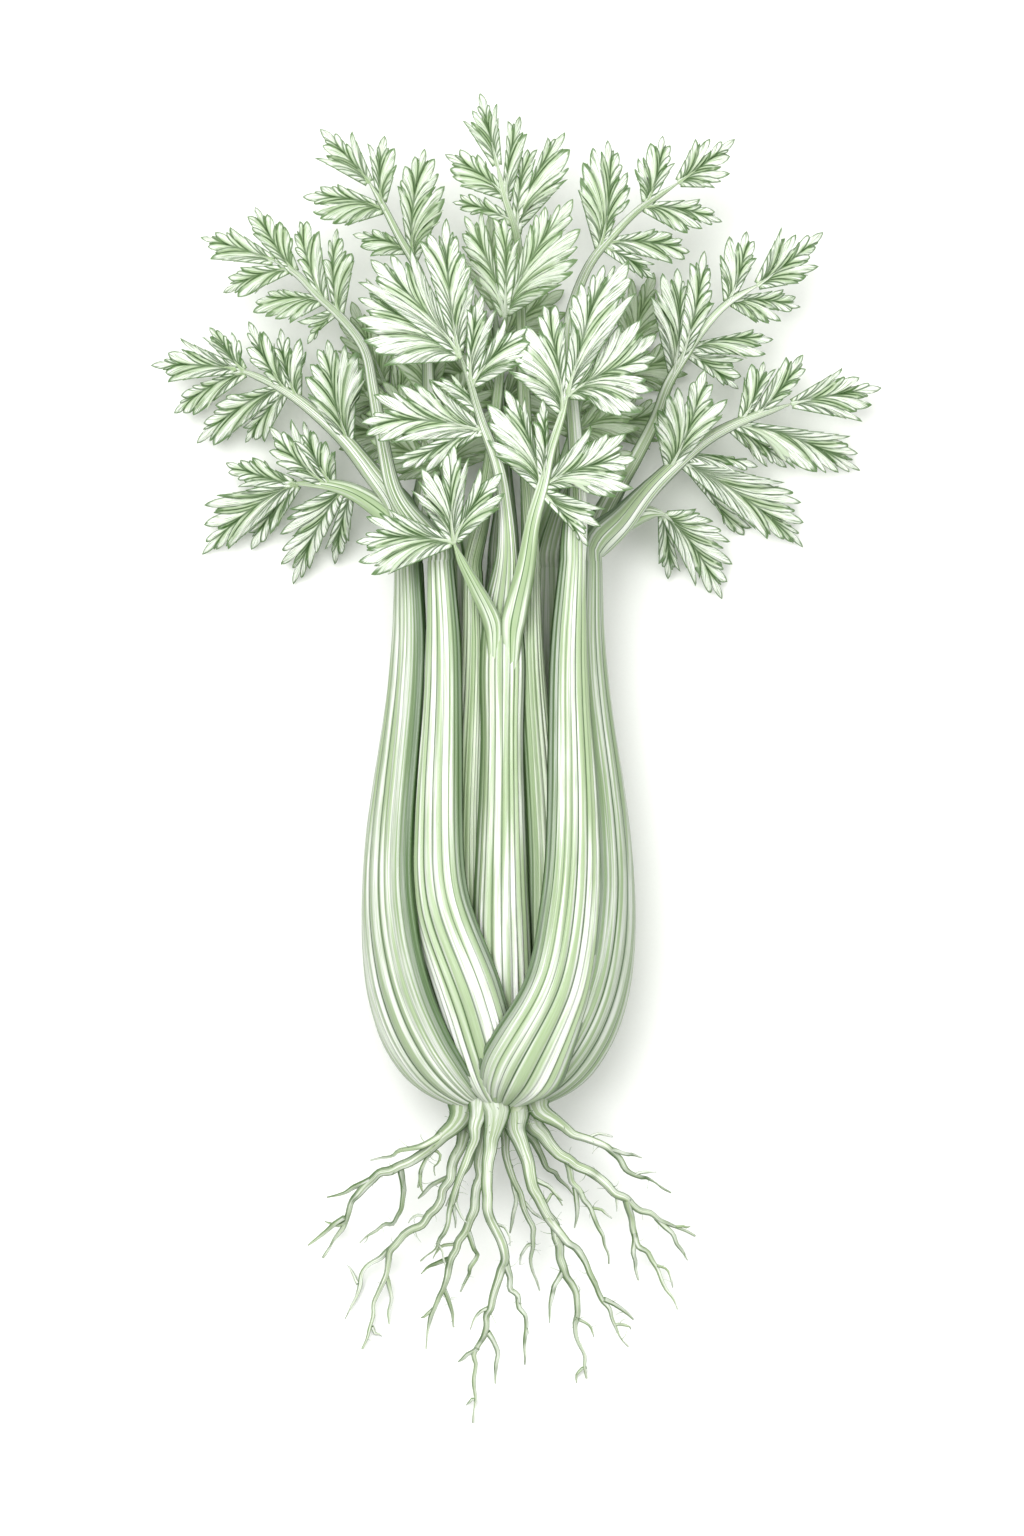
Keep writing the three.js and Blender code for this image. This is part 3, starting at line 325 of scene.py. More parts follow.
materials = {
    # outer stalks have a thin coat of wax: soft gloss along the crests, pale and green bands between furrows
    "stalk": ribbedFlesh("Celery stalk skin, grown in ribs, waxy", finishes["stalk"]),
    # the inner ones grew in the dark: duller, with less difference between crest and furrow
    "innerStalk": ribbedFlesh("Blanched inner celery stalk", finishes["innerStalk"]),
    # stems are narrow, so their ribs and fibres are finer, and painted shade darkens their sides sooner
    "stem": ribbedFlesh("Celery leaf stem, ribbed", finishes["stem"]),
    # blades have no wax: a satin top with dark lines over the veins and painted shade in its folds, and a
    # plain paler underside
    "blade": leafBlade("Celery leaf blade, satin and creased", finishes["blade"]),
    # the crown is corky where it stood in the soil: matt and rough, with short coarse fibres
    "crown": ribbedFlesh("Celery crown, fibrous and dry", finishes["crown"]),
    # washed root skin: matt and light on top, with painted shade on its sides, which draws each root's
    # outline
    "root": ribbedFlesh("Celery root skin, matt and fibrous", finishes["root"]),
}
print("finishes made:", len(materials))


def sectionPiece(name, outline, ribs, ribWidths, backFrom=None):
    # a closed outline one unit across, with a rib wave of 0 in the valleys and 1 on the crests, which stops
    # where a plain back begins
    outline = np.asarray(outline, float)
    ahead, behind = np.roll(outline, -1, axis=0), np.roll(outline, 1, axis=0)
    facing = unit(np.column_stack([(ahead - behind)[:, 1], -(ahead - behind)[:, 0]]))
    facing *= np.sign(np.sum(facing * outline)) or 1
    steps = np.linalg.norm(ahead - outline, axis=1)
    run = np.concatenate([[0], np.cumsum(steps)[:-1]])
    around = run[-1] + steps[-1]
    ribbed = run <= (around if backFrom is None else backFrom)
    length = run[ribbed][-1]
    edges = np.cumsum(ribWidths) / np.sum(ribWidths)
    phase = np.interp(run / length, np.concatenate([[0], edges]), np.arange(ribs + 1))
    wave = np.where(ribbed, np.abs(np.sin(np.pi * phase)) ** 0.8, 1.0)
    # how far each point lies from the arch's sides, which the material paints with shade
    margin = np.ones(len(outline))
    if backFrom is not None:
        margin = np.where(ribbed, np.minimum(run, length - run), 2 * np.minimum(run - length, around - run))
    flat = np.zeros(len(outline))
    loop = [(i, (i + 1) % len(outline)) for i in range(len(outline))]
    return addMesh(name, np.column_stack([outline, flat]), loop, [], {
        "spot": np.column_stack([outline, flat]),
        "facing": np.column_stack([facing, flat]),
        "rib": wave,
        "round": run,
        "margin": margin,
    })


def pathPiece(name, strands):
    # a strand is a dictionary of arrays, one entry for each station along it; size holds the section's width
    # and depth there, and how much of their height the ribs have
    vertices = np.vstack([s["centre"] for s in strands])
    edges, first = [], 0
    for strand in strands:
        count = len(strand["centre"])
        edges += [(first + i, first + i + 1) for i in range(count - 1)]
        first += count
    keys = ("side", "outward", "size", "along", "tone", "span")
    columns = {key: np.concatenate([s[key] for s in strands]) for key in keys}
    return addMesh(name, vertices, edges, [], {"centre": vertices, **columns})


def sweepTree():  # carries a section along a path, sunk between its ribs and a little lumpy
    tree = bpy.data.node_groups.new("Ribbed section along a path", "GeometryNodeTree")
    tree.is_modifier = True
    sockets = {}
    for name, kind in (
        ("Path", "NodeSocketGeometry"), ("Section", "NodeSocketObject"), ("Rib height", "NodeSocketFloat"),
        ("Lump height", "NodeSocketFloat"), ("Lump scale", "NodeSocketFloat"), ("Seed", "NodeSocketFloat"),
        ("Finish", "NodeSocketMaterial"),
    ):
        sockets[name] = tree.interface.new_socket(name, in_out="INPUT", socket_type=kind).identifier
    tree.interface.new_socket("Piece", in_out="OUTPUT", socket_type="NodeSocketGeometry")
    given = addNode(tree, "NodeGroupInput").outputs
    section = addNode(tree, "GeometryNodeObjectInfo", {"Object": given["Section"]})
    sectionCurve = addNode(tree, "GeometryNodeMeshToCurve", {"Mesh": section.outputs["Geometry"]})
    pathCurve = addNode(tree, "GeometryNodeMeshToCurve", {"Mesh": given["Path"]})
    swept = addNode(tree, "GeometryNodeCurveToMesh", {
        "Curve": pathCurve.outputs["Curve"], "Profile Curve": sectionCurve.outputs["Curve"],
        "Fill Caps": True,
    })
    read = {
        name: addNode(tree, "GeometryNodeInputNamedAttribute", {
            "Name": name,
        }, data_type=kind).outputs["Attribute"]
        for name, kind in (
            ("centre", "FLOAT_VECTOR"), ("side", "FLOAT_VECTOR"), ("outward", "FLOAT_VECTOR"),
            ("size", "FLOAT_VECTOR"), ("spot", "FLOAT_VECTOR"), ("facing", "FLOAT_VECTOR"),
            ("rib", "FLOAT"), ("round", "FLOAT"), ("span", "FLOAT"),
        )
    }
    size = addNode(tree, "ShaderNodeSeparateXYZ", {"Vector": read["size"]}).outputs
    spot = addNode(tree, "ShaderNodeSeparateXYZ", {"Vector": read["spot"]}).outputs
    facing = addNode(tree, "ShaderNodeSeparateXYZ", {"Vector": read["facing"]}).outputs
    sunk = addNode(tree, "ShaderNodeMath", {0: read["rib"], 1: 1.0}, operation="SUBTRACT").outputs[0]
    ribHere = addNode(tree, "ShaderNodeMath", {
        0: given["Rib height"], 1: size["Z"],
    }, operation="MULTIPLY").outputs[0]
    sink = addNode(tree, "ShaderNodeMath", {0: sunk, 1: ribHere}, operation="MULTIPLY").outputs[0]
    reach = {}
    for way in ("X", "Y"):
        plain = addNode(tree, "ShaderNodeMath", {0: spot[way], 1: size[way]}, operation="MULTIPLY").outputs[0]
        reach[way] = addNode(tree, "ShaderNodeMath", {
            0: facing[way], 1: sink, 2: plain,
        }, operation="MULTIPLY_ADD")
    aside = addNode(tree, "ShaderNodeVectorMath", {
        0: read["side"], "Scale": reach["X"].outputs[0],
    }, operation="SCALE").outputs[0]
    outside = addNode(tree, "ShaderNodeVectorMath", {
        0: read["outward"], "Scale": reach["Y"].outputs[0],
    }, operation="SCALE").outputs[0]
    offset = addNode(tree, "ShaderNodeVectorMath", {0: aside, 1: outside}, operation="ADD").outputs[0]
    place = addNode(tree, "ShaderNodeVectorMath", {0: read["centre"], 1: offset}, operation="ADD").outputs[0]
    shaped = addNode(tree, "GeometryNodeSetPosition", {"Geometry": swept.outputs["Mesh"], "Position": place})
    lumps = addNode(tree, "ShaderNodeTexNoise", {
        "W": given["Seed"], "Scale": given["Lump scale"], "Detail": 2.0,
    }, noise_dimensions="4D").outputs["Fac"]
    centred = addNode(tree, "ShaderNodeMath", {0: lumps, 1: 0.5}, operation="SUBTRACT").outputs[0]
    lumpHere = addNode(tree, "ShaderNodeMath", {
        0: centred, 1: given["Lump height"],
    }, operation="MULTIPLY").outputs[0]
    normal = addNode(tree, "GeometryNodeInputNormal").outputs["Normal"]
    push = addNode(tree, "ShaderNodeVectorMath", {0: normal, "Scale": lumpHere}, operation="SCALE").outputs[0]
    lumpy = addNode(tree, "GeometryNodeSetPosition", {"Geometry": shaped.outputs[0], "Offset": push})
    acrossSpan = addNode(tree, "ShaderNodeMath", {
        0: read["round"], 1: read["span"],
    }, operation="MULTIPLY").outputs[0]
    streakShift = addNode(tree, "ShaderNodeMath", {  # no two pieces show the same streaks
        0: given["Seed"], 1: 37.0, 2: acrossSpan,
    }, operation="MULTIPLY_ADD")
    measured = addNode(tree, "GeometryNodeStoreNamedAttribute", {
        "Geometry": lumpy.outputs[0], "Name": "across", "Value": streakShift.outputs[0],
    }, data_type="FLOAT", domain="POINT")
    smooth = addNode(tree, "GeometryNodeSetShadeSmooth", {0: measured.outputs[0]})
    real = addNode(tree, "GeometryNodeRealizeInstances", {0: smooth.outputs[0]})
    finished = addNode(tree, "GeometryNodeSetMaterial", {0: real.outputs[0], "Material": given["Finish"]})
    addNode(tree, "NodeGroupOutput", {0: finished.outputs[0]})
    return tree, sockets


sweepNodes, sweepSockets = sweepTree()


def asPlainMesh(piece, name):  # the modifier's result as a mesh of its own, with its faces turned outwards
    made = bpy.data.meshes.new_from_object(piece.evaluated_get(bpy.context.evaluated_depsgraph_get()))
    made.name = name
    result = bpy.data.objects.new(name, made)
    bpy.context.scene.collection.objects.link(result)
    places = np.zeros(len(made.vertices) * 3)
    made.vertices.foreach_get("co", places)
    places = places.reshape(-1, 3) - places.reshape(-1, 3).mean(axis=0)
    made.calc_loop_triangles()
    triangles = np.zeros(len(made.loop_triangles) * 3, int)
    made.loop_triangles.foreach_get("vertices", triangles)
    a, b, c = places[triangles].reshape(-1, 3, 3).transpose(1, 0, 2)
    if np.einsum("ij,ij->", a, np.cross(b, c)) < 0:  # the volume is negative in a mesh that is inside out
        made.flip_normals()
    sides = np.zeros(len(made.polygons), int)
    made.polygons.foreach_get("loop_total", sides)
    made.polygons.foreach_set("use_smooth", sides <= 4)  # a flat end doesn't turn the shading round it
    return result


def sweep(name, strands, section, finish, ribHeight, lumpHeight, lumpScale, seed):
    path = pathPiece(name + "Path", strands)
    modifier = path.modifiers.new("sweep", "NODES")
    modifier.node_group = sweepNodes
    for key, value in (
        ("Section", section), ("Rib height", ribHeight * millimetre), ("Finish", materials[finish]),
        ("Lump height", lumpHeight * millimetre), ("Lump scale", lumpScale), ("Seed", float(seed)),
    ):
        modifier[sweepSockets[key]] = value
    piece = asPlainMesh(path, name)
    bpy.data.objects.remove(path)
    return piece


def roundSection(name, ribs, perRib, seed, unevenness=0.25):
    dice = random.Random(seed)
    angles = np.linspace(0, 2 * math.pi, ribs * perRib, endpoint=False) - math.pi / 2
    outline = np.column_stack([np.cos(angles), np.sin(angles)]) / 2
    return sectionPiece(name, outline, ribs, [1 + dice.uniform(-unevenness, unevenness) for _ in range(ribs)])


def strandThrough(places, along, width, depth, upward, ribShare, tone):
    # a strand through the places, whose outward side keeps to the given way up as far as its path lets it
    ahead = unit(np.gradient(places, axis=0))
    side = unit(np.cross(ahead, np.broadcast_to(upward, places.shape)))
    every = np.ones(len(places))
    return {
        "centre": inFrame(places), "side": side, "outward": np.cross(side, ahead),
        "size": np.column_stack([width * millimetre, depth * millimetre, every * ribShare]),
        "along": along, "tone": every * tone, "span": every * width.max(),
    }


def strandAlong(points, widthAt, depthShare, spacing, tone=1.0, footPaintedLight=None):
    places, run = smoothPath(points, spacing)
    width = np.array([widthAt(distance, run[-1]) for distance in run])
    # painted light along a strand; a main root's foot is painted darker near the crown, as shade under the
    # head
    paintedLights = np.interp(run, [10, 40], [tone if footPaintedLight is None else footPaintedLight, tone])
    return strandThrough(places, run, width, depthShare * width, (0, 0, 1), 1.0, paintedLights)


stalkShape = {
    "heights": [-1.5, 3, 11, 26, 46, 72, 105, 145, 185, 214],  # above the crown
    "breadths": [0.42, 0.75, 0.98, 1.1, 1.13, 1.09, 0.96, 0.8, 0.64, 0.46],  # times the stalk's width
    "thicknesses": [0.3, 0.5, 0.7, 0.85, 0.95, 1, 1, 0.95, 0.85, 0.7],
    "turnsAt": [0, 44, 78, 214],  # the heights that a stalk's turns are given at
    "ringAtLeast": 8,
    "ribs": 13,
    "pointsPerRib": 5,
    "ribHeight": 1.3,
    "stations": 84,
    "lumpHeight": 0.8,
    "lumpScale": 28.0,
    "sectionSpread": 0.55,  # how unlike each other the ribs' widths are
    "innerHalfWidth": 0.46,  # of the hollow inner face, times the stalk's width
    "hollow": 0.3,  # times the stalk's thickness
    "footPush": 6,  # how far out a foot of twice the width lies
    "footEase": 25,  # the height that a stalk's wider foot dies away over
    "footTuck": 13,  # how far in such a foot turns at its end, to close on the crown
    "tuckEase": 5,  # the height that it turns in over
    "forkEase": 32,  # the height below its end that a stalk widens over, toward a fork
}

# turns are the angles round the head's axis, 0 to the right, 90 the front and 270 the back; inset is how far
# a stalk's middle lies inside the head's girth; from and end are its heights where it isn't of full length. A
# stalk given less light than 1 is painted darker, as the shade that it lies in beside its neighbours
stalks = {
    "front_right": {"turns": [83, 62, 57, 46], "inset": 3.5, "width": 26, "thickness": 10, "foot": 1.5},
    "front_left": {"turns": [95, 106, 122, 131], "inset": 9, "width": 25, "thickness": 10},
    "front_centre": {
        "turns": [84, 88, 89, 87], "inset": 20, "width": 22, "thickness": 10,
        "from": 8, "end": 190, "fork": 1.6,
    },
    "left": {"turns": [142, 151, 157, 163], "inset": 7, "width": 42, "thickness": 11, "tone": 0.92},
    "right": {"turns": [34, 24, 19, 15], "inset": 8.5, "width": 38, "thickness": 11, "tone": 0.7},
    "back_left": {"turns": [203, 203, 203, 205], "inset": 6, "width": 29, "thickness": 10},
    "back_right": {"turns": [337, 337, 337, 337], "inset": 6, "width": 29, "thickness": 10},
    "back_middle": {"turns": [270, 270, 270, 272], "inset": 5, "width": 29, "thickness": 10},
    "back_lower_left": {"turns": [236, 236, 236, 238], "inset": 9, "width": 29, "thickness": 10},
    "back_lower_right": {"turns": [304, 304, 304, 304], "inset": 9, "width": 29, "thickness": 10},
    "inner_left": {
        "turns": [130, 121, 118, 124], "inset": 26, "width": 17, "thickness": 8,
        "from": 10, "end": 210, "tone": 1.1,
    },
    "inner_right": {
        "turns": [44, 53, 55, 55], "inset": 24, "width": 17, "thickness": 8,
        "from": 10, "end": 210, "tone": 0.86,
    },
    "heart_left": {
        "turns": [215, 215, 215, 215], "inset": 33, "width": 15, "thickness": 7, "from": 12, "end": 196,
    },
    "heart_right": {
        "turns": [320, 320, 320, 320], "inset": 33, "width": 15, "thickness": 7, "from": 12, "end": 196,
    },
}


def girth(height):  # the head's radius at a height above the crown
    if height < head["fullestAt"]:
        drop = (head["fullestAt"] - height) / (head["fullestAt"] + head["baseDepth"])
        return head["radius"] * (1 - drop**2.6) ** 0.45
    along = min((height - head["fullestAt"]) / (head["throatAt"] - head["fullestAt"]), 1)
    share = 0.5 * (1 + math.cos(math.pi * along))
    return head["throatRadius"] + (head["radius"] - head["throatRadius"]) * share


def eased(values, passes=4):  # with their corners rounded off
    for _ in range(passes):
        values = np.concatenate([values[:1], (values[:-2] + 2 * values[1:-1] + values[2:]) / 4, values[-1:]])
    return values


def stalkSection(name, seed):  # a crescent: a ribbed arch outside, and a hollow inner face
    dice = random.Random(seed)
    count = stalkShape["ribs"] * stalkShape["pointsPerRib"]
    fine = np.linspace(-math.pi / 2, math.pi / 2, 600)
    back = np.column_stack([0.5 * np.sin(fine), -0.4 + 0.9 * np.cos(fine)])
    run = np.concatenate([[0], np.cumsum(np.linalg.norm(np.diff(back * (1, 0.4), axis=0), axis=1))])
    even = np.linspace(0, run[-1], count + 1)
    outer = np.column_stack([np.interp(even, run, back[:, 0]), np.interp(even, run, back[:, 1])])
    halfWidth = stalkShape["innerHalfWidth"]
    across = np.linspace(halfWidth, -halfWidth, 13)
    inner = np.column_stack([across, -0.5 + stalkShape["hollow"] * (1 - (across / halfWidth) ** 2)])
    outline = np.vstack([outer, inner])
    steps = np.linalg.norm(np.diff(outline, axis=0), axis=1)
    spread = stalkShape["sectionSpread"]
    widths = [1 + dice.uniform(-spread, spread) for _ in range(stalkShape["ribs"])]
    return sectionPiece(name, outline, stalkShape["ribs"], widths, backFrom=steps[:count].sum() + 1e-6)


def stalkCentres(stalk, heights):
    turn = np.radians(eased(np.interp(heights, stalkShape["turnsAt"], stalk["turns"]), 30))
    ring = np.maximum([girth(h) for h in heights], 0) - stalk["inset"]
    push = stalkShape["footPush"] * np.exp(-((heights / stalkShape["footEase"]) ** 2))
    aboveEnd = heights - stalkShape["heights"][0]
    tuck = stalkShape["footTuck"] * np.exp(-((aboveEnd / stalkShape["tuckEase"]) ** 2))
    ring += (stalk.get("foot", 1) - 1) * (push - tuck)
    ring = eased(np.maximum(ring, stalkShape["ringAtLeast"]), 2)
    centres = np.column_stack([ring * np.cos(turn), heights, head["flatness"] * ring * np.sin(turn)])
    return centres, turn


def widened(stalk, heights):  # times the breadth it would have, for a wide foot or a fork
    foot = (stalk.get("foot", 1) - 1) * np.exp(-((heights / stalkShape["footEase"]) ** 2))
    below = stalk.get("end", stalkShape["heights"][-1]) - heights
    return 1 + foot + (stalk.get("fork", 1) - 1) * np.exp(-((below / stalkShape["forkEase"]) ** 2))


def stalkStrand(stalk, tone):
    base, top = stalkShape["heights"][0], stalkShape["heights"][-1]
    share = np.linspace(0, 1, stalkShape["stations"]) ** 1.25
    low, high = stalk.get("from", base), stalk.get("end", top)
    heights = low + share * (high - low)
    centres, turn = stalkCentres(stalk, heights)
    ahead = unit(np.gradient(centres, axis=0))
    outward = np.column_stack([np.cos(turn), 0 * turn, np.sin(turn)])
    outward = unit(outward - ahead * np.sum(outward * ahead, axis=1, keepdims=True))
    asIfWhole = base + share * (top - base)
    breadth = eased(np.interp(asIfWhole, stalkShape["heights"], stalkShape["breadths"]))
    thickness = eased(np.interp(asIfWhole, stalkShape["heights"], stalkShape["thicknesses"]))
    breadth = breadth * widened(stalk, heights)
    return {
        "centre": inFrame(centres), "side": np.cross(ahead, outward), "outward": outward,
        "size": np.column_stack([
            stalk["width"] * breadth * millimetre, stalk["thickness"] * thickness * millimetre, breadth,
        ]),
        "along": heights, "tone": np.full(len(heights), tone), "span": np.full(len(heights), stalk["width"]),
    }


def camel(*words):
    first, *rest = "_".join(words).split("_")
    return first + "".join(word.capitalize() for word in rest)


def ridesFor(piece, node, slotName):
    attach(piece, "root")
    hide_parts(node)


def stalkFinish(place):
    return "innerStalk" if "from" in stalks[place] and place != "front_centre" else "stalk"


def stalkSweep(name, strand, place):  # a stalk, or the stem that goes on from it, in that stalk's own section
    return sweep(
        name, [strand], stalkSections[place], stalkFinish(place), stalkShape["ribHeight"],
        stalkShape["lumpHeight"], stalkShape["lumpScale"], seed=list(stalks).index(place),
    )


stalkSections = {place: stalkSection(camel("section", place), seed) for seed, place in enumerate(stalks)}
for place, stalk in stalks.items():
    piece = stalkSweep(camel("stalk", place), stalkStrand(stalk, stalk.get("tone", 1.0)), place)
    ridesFor(piece, "stalk_" + place, "inner_stalk" if stalkFinish(place) == "innerStalk" else "stalk")
print("stalks made:", len(stalks))


